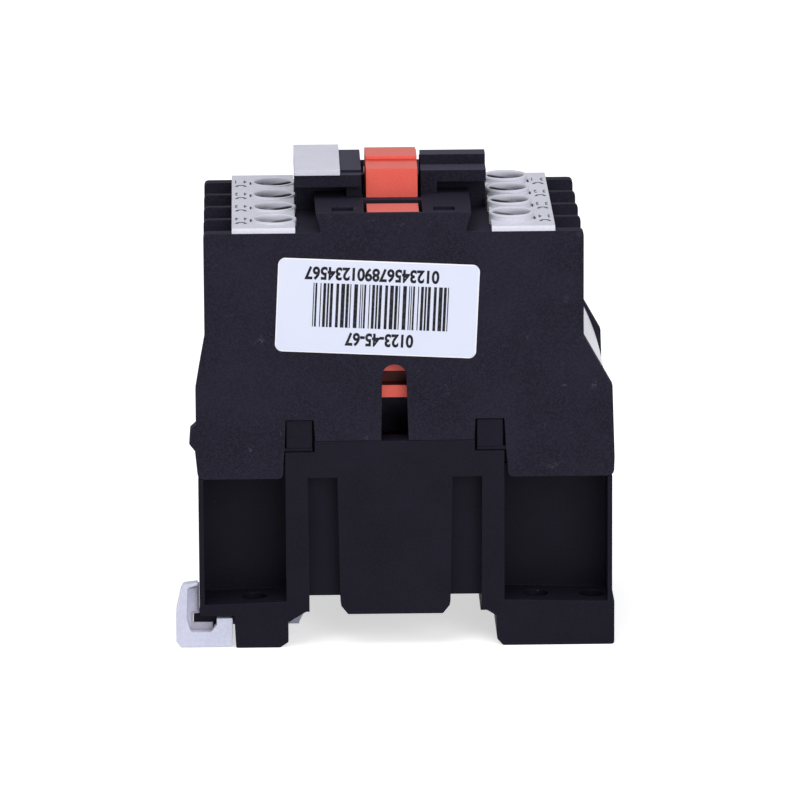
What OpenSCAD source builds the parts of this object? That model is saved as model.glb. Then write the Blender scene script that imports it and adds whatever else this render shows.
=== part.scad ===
// Four-pole control relay (contactor pattern) on a 45 mm frame, lying on its mounting back.
// X runs along the terminals, Y across the poles, Z from the mounting plane to the front.
// Z = 0 is the panel plane under the feet; X = 0, Y = 0 is the axis of magnet and carrier.

/* [Housing] */
// Width across the poles
body_w = 45; // [44:0.5:48]
// Thickness of the thin moulded walls
wall = 1.5; // [1.2:0.1:1.8]
// Thickness of the upper moulding's two side walls
side_wall = 2.6; // [2.4:0.1:2.8]
// Thickness of the ribs between the poles
rib_t = 1.3; // [1.1:0.1:1.5]
// Half length of the terminal head
head_half = 33.3; // [32.6:0.1:34]
// Height of the contact chamber, from its floor to the top of the deck
chamber_h = 18.2; // [18:0.1:19.5]
// Rise of the centre plateau above the deck
plateau_rise = 3.5; // [3:0.1:4]
// Half width of the plateau at its top
plateau_half = 13.65; // [13:0.05:14.2]
// Depth of the dovetail undercut of the plateau
dovetail = 0.9; // [0.4:0.1:1.2]
// Left end of the base, from the magnet axis
base_left = 34.7; // [34:0.1:36]
// Right end of the base, from the magnet axis
base_right = 38.4; // [38:0.1:39.5]
// Height of the seam between the two mouldings
seam_z = 37.7; // [37:0.1:38.2]
// Underside of the upper moulding's legs
leg_z = 30.9; // [30.6:0.1:32]
// Gap between the two mouldings where they meet
seam_gap = 0.1; // [0.05:0.05:0.2]

/* [Base] */
// Half length of the centre section between the screw pockets
section_half = 19.3; // [19:0.1:20]
// Half width of the part of the base between the screw pockets
mid_half = 12.5; // [12:0.1:13]
// Depth of the upright grooves in the base's side
groove_depth = 3; // [2:0.1:3]
// Height of the feet at the screw pockets
foot_h = 7.9; // [7:0.1:8.4]
// Top of the base floor
floor_z = 10; // [9.8:0.1:10.4]

/* [Rail] */
// Width of the mounting rail
rail_w = 35; // [35]
// Thickness of the rail's flange
rail_t = 1; // [1]
// Height of the rail seat above the panel plane
rail_seat_z = 5.4; // [5.3:0.05:5.6]
// Travel of the rail clip
clip_travel = 4; // [3:0.5:4.5]

/* [Panel screws] */
// Screw spacing across the poles
screw_y = 35; // [35]
// Shorter screw spacing along the terminals
screw_x = 50; // [50]
// Longer screw spacing along the terminals
screw_x_long = 60; // [60]
// Radius of the panel screw holes
screw_hole_r = 2.25; // [2.1:0.05:2.4]

/* [Poles] */
// Number of poles
poles = 4; // [4]
// Stroke of the contact carrier
stroke = 5.5; // [5:0.1:5.5]
// Open gap between the contact tips
contact_gap = 3.5; // [3:0.1:3.8]
// Distance of the contact tips from the carrier axis
tip_x = 9.5; // [9:0.1:10.5]
// Thickness of the contact strips
strip_t = 1.2; // [1:0.1:1.4]
// Width of the terminal strips
strip_w = 7.6; // [7:0.1:8]
// Distance of the terminal screws from the carrier axis
terminal_x = 20.85; // [20.6:0.05:21.2]
// Radius of the terminal screw's shank
shank_r = 1.75; // [1.5:0.05:1.9]
// Wire space under an open clamp washer
wire_gap = 2.8; // [2:0.1:3]

/* [Magnet] */
// Length of the E cores
core_l = 42; // [41:0.5:43]
// Thickness of the core stack
core_t = 14; // [13:0.5:14]
// Width of the centre leg
centre_leg = 12; // [11:0.5:12]
// Width of the outer legs
outer_leg = 6.5; // [6:0.5:7]
// Height of the back of each core
core_back = 6.5; // [6:0.1:7]
// Pole face height of the fixed core
pole_face_z = 30; // [29.5:0.1:30.4]

/* [Carrier] */
// Width of the carrier along the terminals
carrier_w = 9.1; // [8.8:0.1:9.6]
// Half length of the carrier's head across the poles
head_y = 9.1; // [8.6:0.1:9.3]
// Height of the carrier's middle rib above the plateau
rib_rise = 6.05; // [5.8:0.05:6.6]
// Running gap round the carrier
slide_gap = 0.6; // [0.3:0.1:0.7]

/* [Trim] */
// Thickness of the white marking plates
plate_t = 0.9; // [0.7:0.1:1.2]
// Inner edge of the marking plates
plate_in = 17.2; // [17:0.1:17.5]
// Outer edge of the marking plates
plate_out = 28.3; // [27.6:0.1:29]
// Mouth radius of the screwdriver funnels
funnel_r = 3.35; // [3.1:0.05:3.5]
// Height of the collars round the right plate's funnels
collar_h = 0.9; // [0.5:0.1:1.2]
// Thickness of the front label plate
label_t = 1; // [0.8:0.1:1.2]

/* [Hidden] */
$fn = 48;
eps = 0.01;
fit = 0.05;

half_w = body_w / 2;
inner_w = half_w - side_wall;
pole_pitch = (2 * inner_w + rib_t) / poles;

// Levels of the magnet and of the carrier's saddle over it
core_z = 11.2;
residual_gap = 0.05;
armature_face_z = pole_face_z + stroke + residual_gap;
armature_leg = 7.9;
armature_top = armature_face_z + armature_leg + core_back;
saddle_z = armature_top + 0.3;
saddle_t = 4.55;
saddle_top = saddle_z + saddle_t;

// Levels of the contact chamber and the deck over it
chamber_floor_t = 2;
chamber_z = saddle_top + 0.2 + chamber_floor_t;
deck_z = chamber_z + chamber_h;
plateau_z = deck_z + plateau_rise;
rib_z = plateau_z + rib_rise;
neck_half = plateau_half - dovetail;
neck_rise = 0.8;
deck_t = 1.8;
funnel_rim = 0.55;
slot_half = carrier_w / 2 + slide_gap;
slot_lip_t = 0.7;
bar_in = head_y + 0.6;
bar_out = bar_in + 2;

// Snap tongues of the base
snap_x = 16.8;
snap_w = 4.5;

// Contacts, from the floor of the chamber up
end_wall_top = chamber_z - chamber_floor_t - fit;
terminal_z = chamber_z + 6.4;
block_in = 17.6;
block_out = 31.6;
strip_top = terminal_z + strip_t;
tip_t = 1;
tip_size = 4;
fixed_tip_top = chamber_z + strip_t + tip_t;
tip_clearance = 0.02;
bridge_tip_z = fixed_tip_top + contact_gap + tip_clearance;
bridge_z = bridge_tip_z + tip_t;
bridge_w = 5.6;
bridge_half = tip_x + 2;
window_w = bridge_w + 1;
window_top = deck_z - 3;

// Clamp screw of a power terminal
washer_t = 1;
washer_z = strip_top + wire_gap;
screw_head_r = 3;
screw_head_h = 2.6;
shank_len = washer_z + washer_t - terminal_z + 3;

// Magnet and coil
cheek_x = 5.6;
window_x = (core_l - centre_leg) / 2 - outer_leg;
coil_x = centre_leg / 2 + window_x - 0.3;
coil_y = half_w - 5.7;
magnet_room_y = half_w - 4.5;
coil_low = core_z + core_back + 0.3;
bobbin_t = 1;
spring_x = 9;
spring_y = coil_y - 4;

// Carrier's skirts, whose groove the interlock reads
skirt_out = inner_w - 0.3;
skirt_in = skirt_out - 4.1;
skirt_z = saddle_z - 5.45;
groove_in = skirt_in + 1.1;
groove_z = saddle_z - 3.25;
groove_top = saddle_z - 0.65;
interlock_z = saddle_z - 0.95;
interlock_r = 2.15;
comb_top = plateau_z - deck_t - 0.2;
arm_top = plateau_z - 0.6;

// Mounting blocks on the plateau
flange_low = plateau_z + 2.1;
right_flange_top = flange_low + 2.1;
left_flange_top = flange_low + 2.2;
right_web_half = 2;
right_flange_half = 6.8;
left_web_half = 4;
left_flange_half = 10.6;
shelf_half = 8.7;
shelf_in = 9.1;
label_half = 11;
peg_y = 8;
peg_l = 1.5;
block_edge = 5.4;
right_block_out = 16.7;

// Rail clip and its channel in the left foot
channel_half = 9.3;
channel_top = 3.9;
ledge_z = 5.9;
tongue_half = channel_half - 0.3;
tongue_z = 0.6;
tongue_top = 3;
lip_top = rail_seat_z - rail_t - 0.1;
lip_reach = 1.9;
hook_root = rail_w / 2 + 1.9;
clip_proud = 4.2;
clip_out = base_left + clip_proud;
clip_foot_in = base_left - 5.8;
clip_top = 12;
clip_web_top = 10.6;
clip_web_in = 17.5;
clip_foot_top = 5.4;
clip_bar_top = 2.4;
clip_ear_in = half_w - 2;
lug_x = base_left - 3;
ledge_out = lug_x + 4.1;
spring_wall_x = section_half + 1.7;
spring_z = 3;

// White end plate: part of a ring about this centre
arc_r = 40;
arc_x = base_right + 0.9 - arc_r;
arc_z = 34.3;
arc_low = 41;
arc_high = chamber_z - 1;
end_t = 1;

// Coil terminals in the right end
coil_term_y = half_w - 6.9;
coil_term_x = base_right - 7.2;
coil_term_half = 3.6;
coil_tail_z = leg_z + wall + 0.6;
coil_tail_half = 1.2;
coil_screw_z = coil_tail_z + 4;
coil_screw_l = 8.6;
coil_washer = 6.6;
coil_head_r = 2.6;
coil_plate_top = coil_screw_z + 3.5;
coil_room_in = coil_term_y - coil_term_half - 0.2;
coil_room_top = coil_plate_top + 0.4;

housing_black = [0.13, 0.13, 0.16];
base_black = [0.1, 0.1, 0.13];
signal_orange = [0.89, 0.38, 0.31];
plate_white = [0.9, 0.9, 0.94];
steel = [0.72, 0.73, 0.76];
brass = [0.83, 0.69, 0.4];
copper = [0.74, 0.42, 0.25];

function unit(v) = v / norm(v);

// Points that round the corner v between p and n, with k steps
function corner(p, v, n, r, k = 5) =
    r <= 0 ? [v] :
    let (a = unit(p - v), b = unit(n - v))
    let (d = r / tan(acos(a * b) / 2))
    let (s = v + a * d, e = v + b * d)
    [for (i = [0:k]) let (t = i / k) (1 - t) * (1 - t) * s + 2 * t * (1 - t) * v + t * t * e];

function flat2(q) = [q[0], q[1]];

// Outline through corners given as [x, z, radius]
function rounded(q) =
    let (m = len(q))
    [for (i = [0:m - 1]) each corner(flat2(q[(i + m - 1) % m]), flat2(q[i]), flat2(q[(i + 1) % m]), q[i][2])];

function pole_y(i) = (i - (poles - 1) / 2) * pole_pitch;

// Middle of the rib after pole i
function rib_y(i) = (i - poles / 2) * pole_pitch;

// A profile drawn in X and Z, carried along Y from y0 to y1
module along_y(y0, y1) {
    translate([0, y1, 0]) rotate([90, 0, 0]) linear_extrude(y1 - y0) children();
}

module both_y() {
    children();
    mirror([0, 1, 0]) children();
}

module both_x() {
    children();
    mirror([1, 0, 0]) children();
}

module box(x0, x1, y0, y1, z0, z1) {
    translate([x0, y0, z0]) cube([x1 - x0, y1 - y0, z1 - z0]);
}

// Flat rectangle with round corners, centred
module round_rect(x, y, r) {
    square([x - 2 * r, y], center = true);
    square([x, y - 2 * r], center = true);
    for (sx = [-1, 1], sy = [-1, 1]) translate([sx * (x / 2 - r), sy * (y / 2 - r)]) circle(r);
}

// Points of one ring of a helix's wire at angle a
function wire_ring(r, pitch, wire, a, sides) =
    [for (s = [0:sides - 1])
        let (t = 360 * s / sides, rr = r + wire * cos(t))
        [rr * cos(a), rr * sin(a), pitch * a / 360 + wire * sin(t)]];

// Round-wire helix with closed ends, standing on z = 0, of height h over all
module helix(r, h, turns, wire_d, steps = 14, sides = 6) {
    n = turns * steps;
    pitch = (h - wire_d) / turns;
    rings = [for (i = [0:n]) wire_ring(r, pitch, wire_d / 2, 360 * i / steps, sides)];
    points = [for (ring = rings) each ring];
    sides_faces = [for (i = [0:n - 1], s = [0:sides - 1])
        [i * sides + s, (i + 1) * sides + s, (i + 1) * sides + (s + 1) % sides, i * sides + (s + 1) % sides]];
    start_face = [for (s = [0:sides - 1]) s];
    end_face = [for (s = [sides - 1:-1:0]) n * sides + s];
    translate([0, 0, wire_d / 2])
        polyhedron(points, concat(sides_faces, [start_face, end_face]), convexity = 8);
}

// ---------------------------------------------------------------- base

// Left foot and ledge as seen from the side
module left_foot_profile() {
    polygon(rounded([
        [-section_half + 0.3, foot_h + 0.5, 0],
        [-section_half + 0.3, 1, 0.4],
        [-section_half - 1.2, 0, 0.4],
        [-clip_foot_in + 0.6, 0, 0.4],
        [-clip_foot_in + 0.3, ledge_z, 0],
        [-base_left, ledge_z, 0.4],
        [-base_left, foot_h, 0.8]
    ]));
}

module right_foot_profile() {
    polygon(rounded([
        [section_half - 1.6, foot_h + 0.5, 0],
        [section_half - 1.3, 1.2, 0.5],
        [section_half - 0.2, 0, 0.5],
        [base_right + 0.4, 0, 0.6],
        [base_right + 0.4, foot_h, 0]
    ]));
}

// Lower edge of the centre section: block, relief and sloping flank
module section_profile(low) {
    polygon([
        [-section_half, seam_z - 2.1],
        [-14.1, seam_z - 2.1],
        [-14.1, seam_z - seam_gap],
        [14.1, seam_z - seam_gap],
        [14.1, seam_z - 2.1],
        [section_half, seam_z - 2.1],
        [section_half, 5],
        [17.7, 5.6],
        [16.4, 6.4],
        [15.3, 6.8],
        [15.2, 8.7],
        [9.8, 8.7],
        [9.6, low + 1.5],
        [8.4, low],
        [-8.4, low],
        [-9.6, low + 1.5],
        [-9.8, 8.7],
        [-15.2, 8.7],
        [-15.3, 6.8],
        [-16.4, 6.2],
        [-17.7, 5.4],
        [-section_half, 4.4]
    ]);
}

module groove_profile() {
    polygon([[10.15, leg_z + 0.1], [15.4, leg_z + 0.1], [15.2, 0], [9.6, 0]]);
}

// Tongues that snap into the upper moulding's windows, each with an outward lip
module snap_tongues() {
    both_x() both_y() translate([snap_x, half_w, 0]) {
        box(-snap_w / 2, snap_w / 2, -2.2, -1.2 - fit, 33, seam_z + 3.6);
        box(-snap_w / 2, snap_w / 2, -1.3, -0.3, seam_z - 1.3, seam_z + 3.6);
        // Web that closes the window behind the tongue
        box(-snap_w / 2 - 0.8, snap_w / 2 + 0.8, -4, -side_wall - fit, 33, seam_z + 3.6);
    }
}

// Lug in the channel that the clip's spring pushes against
module clip_lug() {
    box(-lug_x - 1.5, -lug_x, -2.2, 2.2, 0.9, ledge_z);
}

module base_housing() color(base_black) {
    base_shell();
    core_ribs();
    clip_lug();
}

module base_shell() difference() {
    union() {
        along_y(-half_w + groove_depth, half_w - groove_depth) section_profile(6);
        both_y() along_y(half_w - groove_depth - eps, half_w) difference() {
            section_profile(6);
            both_x() groove_profile();
        }
        // Parts of the base between the screw pockets
        box(-base_left, -17, -mid_half, mid_half, ledge_z, leg_z - seam_gap);
        box(17, base_right, -mid_half, mid_half, ledge_z, leg_z - seam_gap);
        // Thin end walls of the pockets
        box(-base_left, -base_left + 0.9, -half_w, half_w, 6, leg_z - seam_gap);
        box(base_right - 0.8, base_right, -half_w, half_w, 6, leg_z - seam_gap);
        both_y() along_y(channel_half, half_w) left_foot_profile();
        both_y() along_y(0, half_w) intersection() {
            left_foot_profile();
            translate([-60, ledge_z]) square([60, 20]);
        }
        along_y(-half_w, half_w) right_foot_profile();
        // Rail seat ribs and the fixed hook
        both_x() box(15.2, 17.6, -half_w + 4, half_w - 4, rail_seat_z, 8);
        along_y(-10, 10) polygon([[rail_w / 2 + 1.1, 2.4], [rail_w / 2 - lip_reach, 3.4],
            [rail_w / 2 - lip_reach, lip_top], [rail_w / 2 + 1.1, lip_top]]);
        // Ledge over the clip, with a nose that its ear closes against
        box(-base_left, -lug_x, -20, 20, channel_top, ledge_z + 0.1);
        box(-ledge_out, -lug_x, -20, -clip_web_in + 0.5, channel_top, ledge_z + 0.1);
        snap_tongues();
    }
    // Magnet room: across for the coil, along for the cores
    box(-section_half + wall, section_half - wall, -magnet_room_y, magnet_room_y, floor_z, 60);
    box(-base_left + 1.2, base_right - 1.2, -mid_half + wall, mid_half - wall, floor_z, 60);
    // Notches for the coil's connecting strips
    both_y() box(section_half - wall - 1, section_half + 1,
        coil_term_y - coil_tail_half - 0.4, coil_term_y + coil_tail_half + 0.4, coil_tail_z - 0.2, 60);
    // Channel for the clip's tongue and the grooves that guide it
    box(-base_left - 3, -section_half + 3, -channel_half, channel_half, -1, channel_top);
    box(-lug_x + eps, -section_half + 3, -channel_half, channel_half, -1, channel_top + 1.4);
    both_y() box(-40, -section_half + 3, channel_half - eps, channel_half + 1.3, 1.1, 2.7);
    // Panel screw holes
    for (x = [-screw_x / 2, screw_x / 2, screw_x_long - screw_x / 2], sy = [-1, 1])
        translate([x, sy * screw_y / 2, -1]) cylinder(r = screw_hole_r, h = foot_h + 2);
}

// Ribs on the base's floor that hold the fixed core endways
module core_ribs() {
    both_x() box(core_l / 2 + 0.1, core_l / 2 + 1.5, -mid_half + wall - 0.2, mid_half - wall + 0.2,
        floor_z - 0.2, floor_z + 8);
}

// ---------------------------------------------------------------- upper moulding

// Left ends of the two side walls: only the near one has the small nub
near_left_end = [
    [-base_left, leg_z, 1.2],
    [-base_left - 0.5, seam_z - 1.6, 0],
    [-base_left - 1.5, seam_z - 0.3, 0.4],
    [-base_left - 1.3, seam_z + 2.3, 0.4],
    [-base_left - 0.3, seam_z + 3.2, 0],
    [-base_left - 0.3, 47.3, 0],
    [-base_left + 0.5, 51.9, 0],
    [-head_half, chamber_z - 0.3, 0]
];
far_left_end = [
    [-base_left + 0.3, leg_z, 1.2],
    [-base_left + 0.3, 40, 0],
    [-base_left + 1.3, 47.3, 0],
    [-head_half, chamber_z - 0.3, 0]
];

module side_outline(left_end) {
    polygon(rounded(concat([
        [-head_half, deck_z, 0.9],
        [-neck_half, deck_z, 0],
        [-neck_half, deck_z + neck_rise, 0],
        [-plateau_half, plateau_z, 0.3],
        [plateau_half, plateau_z, 0.3],
        [neck_half, deck_z + neck_rise, 0],
        [neck_half, deck_z, 0],
        [head_half, deck_z, 0.9],
        [head_half, chamber_z - 0.7, 0],
        [base_right, 47.2, 0],
        [base_right + 0.4, 34.3, 0],
        [base_right + 0.3, leg_z, 1.2],
        [20.1, leg_z, 1],
        [19.6, seam_z - 1, 0],
        [19.35, seam_z + 3.8, 0],
        [14.25, seam_z + 3.8, 0],
        [14, seam_z, 0],
        [-14, seam_z, 0],
        [-14.25, seam_z + 3.8, 0],
        [-19.2, seam_z + 3.8, 0],
        [-19.4, seam_z - 1, 0],
        [-19.8, leg_z, 1]
    ], left_end)));
}

module interlock_slot() {
    translate([0, interlock_z]) circle(interlock_r);
    polygon([[-interlock_r, interlock_z], [interlock_r, interlock_z], [2.5, seam_z - 1], [-2.4, seam_z - 1]]);
}

// Deck, dovetail flank and plateau, right half
module deck_section() {
    polygon([[plateau_half - wall, deck_z - deck_t], [plateau_half - wall, plateau_z - deck_t],
        [slot_half, plateau_z - deck_t], [slot_half, plateau_z], [plateau_half, plateau_z],
        [neck_half, deck_z + neck_rise], [neck_half, deck_z], [plate_out, deck_z],
        [plate_out, deck_z - deck_t]]);
}

module left_end_profile() {
    polygon([[-head_half + 0.2, end_wall_top], [-base_left + 1.3, 47.3], [-base_left + 0.3, 40],
        [-base_left + 0.3, leg_z], [-base_left + 0.3 + wall, leg_z], [-base_left + 0.3 + wall, 40],
        [-base_left + 1.3 + wall, 47.3], [-head_half + 0.2 + wall, end_wall_top]]);
}

// Ring about the end plate's centre, between two heights
module arc_band(r0, r1, z0, z1) {
    intersection() {
        translate([arc_x, arc_z]) difference() {
            circle(r1, $fn = 180);
            circle(r0, $fn = 180);
        }
        translate([arc_x, z0]) square([arc_r + 2, z1 - z0]);
    }
}

module right_end_profile() {
    arc_band(arc_r - end_t - fit - wall, arc_r - end_t - fit, arc_low, end_wall_top);
    translate([base_right - wall, leg_z]) square([wall, arc_low - leg_z]);
}

// Room for a coil terminal, open to the right end
module coil_room() {
    box(coil_term_x - wall, base_right - 1, coil_room_in - 1.2, inner_w, leg_z, coil_room_top + 1.2);
}

module coil_room_space() {
    box(coil_term_x, base_right + 2, coil_room_in, inner_w - 0.3, leg_z + wall, coil_room_top);
}

// Space that the white end plate takes in the right end
module end_plate_space() {
    along_y(-inner_w - eps, inner_w + eps) arc_band(arc_r - end_t - fit, arc_r + 1, arc_low, arc_high + fit);
}

// Slots beside the carrier that add-on blocks latch into
module latch_slots() {
    both_y() both_x() box(7, 10.8, half_w - 5.1, half_w - 2, plateau_z - 3, plateau_z + 1);
}

// The upper moulding is one piece in use. It is drawn as its deck, two side walls and two end
// walls, face to face, so that the room between them stays open to whatever goes in.
module upper_housing() color(housing_black) difference() {
    union() {
        both_x() along_y(-inner_w, inner_w) deck_section();
        // Bars across the carrier's slot in the plateau
        both_y() box(-slot_half - 1, slot_half + 1, bar_in, bar_out, plateau_z - deck_t, plateau_z);
    }
    // Round openings in the deck for the screwdriver funnels
    for (i = [0:poles - 1], sx = [-1, 1])
        translate([sx * terminal_x, pole_y(i), deck_z - deck_t - 1])
            cylinder(r = funnel_r + funnel_rim + 0.1, h = deck_t + 2);
    latch_slots();
}

// Side wall on the +Y side; the near one is its mirror image with a nub at the left end
module side_wall(left_end) color(housing_black) difference() {
    union() {
        along_y(inner_w, half_w) difference() {
            side_outline(left_end);
            interlock_slot();
        }
        // Bars under the snap lips
        both_x() box(14.5, 20.5, half_w - 1.2, half_w - 0.6, seam_z - 2, seam_z - 1.4);
    }
    // Thin lip where the carrier's slot meets the wall
    box(-slot_half, slot_half, inner_w - 1, half_w - slot_lip_t, comb_top - 1, plateau_z + 1);
    latch_slots();
}

// Left end of the upper moulding, with the floors of its legs over the screw pockets
module end_wall_left() color(housing_black) {
    along_y(-inner_w, inner_w) left_end_profile();
    both_y() box(-base_left + 1, -20, mid_half + 0.3, inner_w, leg_z, leg_z + wall);
}

// Right end, with the floors of its legs and the rooms of the coil terminals
module end_wall_right() color(housing_black) difference() {
    union() {
        along_y(-inner_w, inner_w) right_end_profile();
        both_y() box(20.3, base_right - 1, mid_half + 0.3, inner_w, leg_z, leg_z + wall);
        both_y() coil_room();
    }
    both_y() coil_room_space();
    // Path of the coil's connecting strips, and the coil screws' clearance holes
    both_y() box(coil_term_x - wall - 1, coil_term_x + 1, coil_term_y - coil_tail_half - 0.3,
        coil_term_y + coil_tail_half + 0.3, leg_z + wall, coil_tail_z + 1.1);
    both_y() translate([coil_term_x - wall - 1, coil_term_y, coil_screw_z])
        rotate([0, 90, 0]) cylinder(r = shank_r + 0.3, h = 4);
    end_plate_space();
}

// Mounting block right of the carrier: a web with a flange that add-on blocks grip
module aux_block_right() color(housing_black) {
    box(slot_half, right_block_out, -right_web_half, right_web_half, plateau_z, rib_z);
    box(plateau_half, right_block_out, -right_web_half, right_web_half, deck_z, plateau_z + eps);
    box(slot_half, right_block_out, -right_flange_half, right_flange_half, flange_low, right_flange_top);
    box(slot_half, 8, -right_flange_half, right_flange_half, plateau_z, flange_low + eps);
}

// Mounting block left of the carrier, which carries the label plate
module aux_block_left() color(housing_black) difference() {
    union() {
        box(-plate_in, -block_edge, -left_web_half, left_web_half, plateau_z, left_flange_top);
        box(-terminal_x + funnel_r + funnel_rim + fit, -plateau_half, -left_web_half, left_web_half,
            deck_z, plateau_z + eps);
        box(-plate_in, -block_edge, -left_flange_half, left_flange_half, flange_low, left_flange_top);
        box(-8, -block_edge, -shelf_half, shelf_half, plateau_z, flange_low + eps);
        box(-shelf_in, -block_edge, -shelf_half, shelf_half, left_flange_top - eps, left_flange_top + 0.5);
    }
    // Peg holes for the label plate
    for (sy = [-1, 1]) translate([-(plate_in + shelf_in) / 2, sy * peg_y, left_flange_top - peg_l - 0.1])
        cylinder(r = 1 + fit, h = 3);
}

// ---------------------------------------------------------------- contact blocks

// Floor of the contact chambers and the blocks that carry the terminals
module block_section() {
    polygon([[slot_half, chamber_z - chamber_floor_t], [slot_half, chamber_z], [block_in, chamber_z],
        [block_in, terminal_z], [block_out, terminal_z], [block_out, chamber_z - chamber_floor_t]]);
}

// Rib between two poles, fitted under the deck and showing at its outer end
module rib_outline() {
    polygon(rounded([
        [slot_half, chamber_z, 0],
        [slot_half, plateau_z - deck_t - fit, 0],
        [plateau_half - wall - fit, plateau_z - deck_t - fit, 0],
        [plateau_half - wall - fit, deck_z - deck_t - fit, 0],
        [plate_out + fit, deck_z - deck_t - fit, 0],
        [plate_out + fit, deck_z, 0],
        [head_half, deck_z, 1],
        [head_half, arc_high + 0.6, 0],
        [block_out + fit, arc_high + 0.1, 0],
        [block_out + fit, chamber_z, 0]
    ]));
}

module pole_rib(i, sx) color(housing_black) mirror([sx < 0 ? 1 : 0, 0, 0]) translate([0, rib_y(i), 0])
    along_y(-rib_t / 2, rib_t / 2) rib_outline();

// One half of the contact insert, pushed into the upper moulding from below
module contact_block(sx) color(housing_black) difference() {
    mirror([sx < 0 ? 1 : 0, 0, 0]) along_y(-inner_w + fit, inner_w - fit) block_section();
    // Grooves that the ribs stand in
    for (i = [1:poles - 1]) mirror([sx < 0 ? 1 : 0, 0, 0]) translate([0, rib_y(i), 0])
        box(block_in - 1, block_out + 1, -rib_t / 2 - fit, rib_t / 2 + fit, chamber_z, terminal_z + 1);
    // Wells for the screws' ends
    for (i = [0:poles - 1]) translate([sx * terminal_x, pole_y(i), chamber_z])
        cylinder(r = shank_r + 0.4, h = terminal_z - chamber_z + 1);
    end_plate_space();
}

// ---------------------------------------------------------------- magnet

module core_outline(height) {
    difference() {
        translate([-core_l / 2, 0]) square([core_l, height]);
        both_x() translate([centre_leg / 2, core_back]) square([window_x, height]);
    }
}

module fixed_core() color(steel) difference() {
    translate([0, 0, core_z]) along_y(-core_t / 2, core_t / 2) core_outline(pole_face_z - core_z);
    // Slots in the outer pole faces that the shading rings pass through
    both_x() box(core_l / 2 - 4, core_l / 2 - 3, -core_t, core_t, pole_face_z - 2.2, pole_face_z + 1);
}

module core_buffer() color([0.2, 0.2, 0.2]) both_x()
    box(core_l / 2 - outer_leg - 2, core_l / 2, -core_t / 2, core_t / 2, floor_z, core_z);

module shading_rings() color(copper) both_x() translate([core_l / 2 - 1.5, 0, pole_face_z - 2]) difference() {
    translate([-2.4, -core_t / 2 - 0.9, 0]) cube([4.8, core_t + 1.8, 1.6]);
    translate([-1.5 - fit, -core_t / 2 - fit, -1]) cube([3 + 2 * fit, core_t + 2 * fit, 4]);
}

module coil_bobbin() color([0.85, 0.84, 0.78]) {
    flange_x = coil_x * 2;
    flange_y = coil_y * 2;
    tube_x = centre_leg + 2.4;
    tube_y = core_t + 2.4;
    difference() {
        union() {
            for (z = [coil_low, pole_face_z - 0.6 - bobbin_t])
                translate([0, 0, z]) linear_extrude(bobbin_t) round_rect(flange_x, flange_y, 2);
            translate([-tube_x / 2, -tube_y / 2, coil_low])
                cube([tube_x, tube_y, pole_face_z - 0.6 - coil_low]);
            both_y() box(coil_x - 2, coil_x, coil_term_y - 1.3, coil_y, pole_face_z - 1, coil_tail_z);
        }
        translate([-centre_leg / 2 - 0.2, -core_t / 2 - 0.2, 0]) cube([centre_leg + 0.4, core_t + 0.4, 60]);
    }
}

module coil_winding() color(copper) difference() {
    translate([0, 0, coil_low + bobbin_t + fit])
        linear_extrude(pole_face_z - 0.6 - coil_low - 2 * bobbin_t - 2 * fit)
        round_rect(coil_x * 2 - 1, coil_y * 2 - 1, 4);
    translate([-centre_leg / 2 - 1.25, -core_t / 2 - 1.25, 0]) cube([centre_leg + 2.5, core_t + 2.5, 60]);
}

module return_springs() color(steel) for (s = [-1, 1])
    translate([s * spring_x, s * spring_y, pole_face_z - 0.6]) helix(2.9, saddle_z - pole_face_z + 0.6, 6, 0.6);

module moving_core() color(steel) difference() {
    translate([0, 0, armature_top]) mirror([0, 0, 1])
        along_y(-core_t / 2, core_t / 2) core_outline(armature_top - armature_face_z);
    box(-2.6, 2.6, -core_t, core_t, armature_top - 4.4, armature_top - 2.6);
}

module core_key() color(steel)
    box(-2.5, 2.5, -9.4, 9.4, armature_top - 4.3, armature_top - 2.7);

// Coil terminal: strip behind the screw, with a tail to the bobbin's post
module coil_terminal(sy) color(brass) difference() {
    union() {
        translate([coil_term_x + fit, sy * coil_term_y - coil_term_half, coil_tail_z])
            cube([1 - fit, 2 * coil_term_half, coil_plate_top - coil_tail_z]);
        translate([coil_x - 1.5, sy * coil_term_y - coil_tail_half, coil_tail_z])
            cube([coil_term_x - coil_x + 2.5, 2 * coil_tail_half, 0.8]);
    }
    translate([coil_term_x - 1, sy * coil_term_y, coil_screw_z])
        rotate([0, 90, 0]) cylinder(r = shank_r + fit, h = 4);
}

module coil_screw(sy) translate([coil_term_x + 3.4, sy * coil_term_y, coil_screw_z])
    rotate([0, 90, 0]) clamp_screw(coil_screw_l, coil_washer, coil_head_r);

// ---------------------------------------------------------------- contacts

// Screw with its captive square washer; the washer's underside is at z = 0
module clamp_screw(length, washer, head_r) color(steel) difference() {
    union() {
        translate([0, 0, -length + washer_t]) cylinder(r = shank_r, h = length);
        translate([-washer / 2, -washer / 2, 0]) cube([washer, washer, washer_t]);
        translate([0, 0, washer_t]) cylinder(r = head_r, h = screw_head_h - 0.6);
        translate([0, 0, washer_t + screw_head_h - 0.6]) cylinder(r1 = head_r, r2 = head_r - 0.5, h = 0.6);
    }
    for (a = [0, 90]) rotate([0, 0, a])
        translate([-head_r * 0.62, -0.45, washer_t + 0.9]) cube([head_r * 1.24, 0.9, 4]);
}

module terminal_screw(i, sx) translate([sx * terminal_x, pole_y(i), washer_z])
    clamp_screw(shank_len, strip_w - 0.4, screw_head_r);

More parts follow.
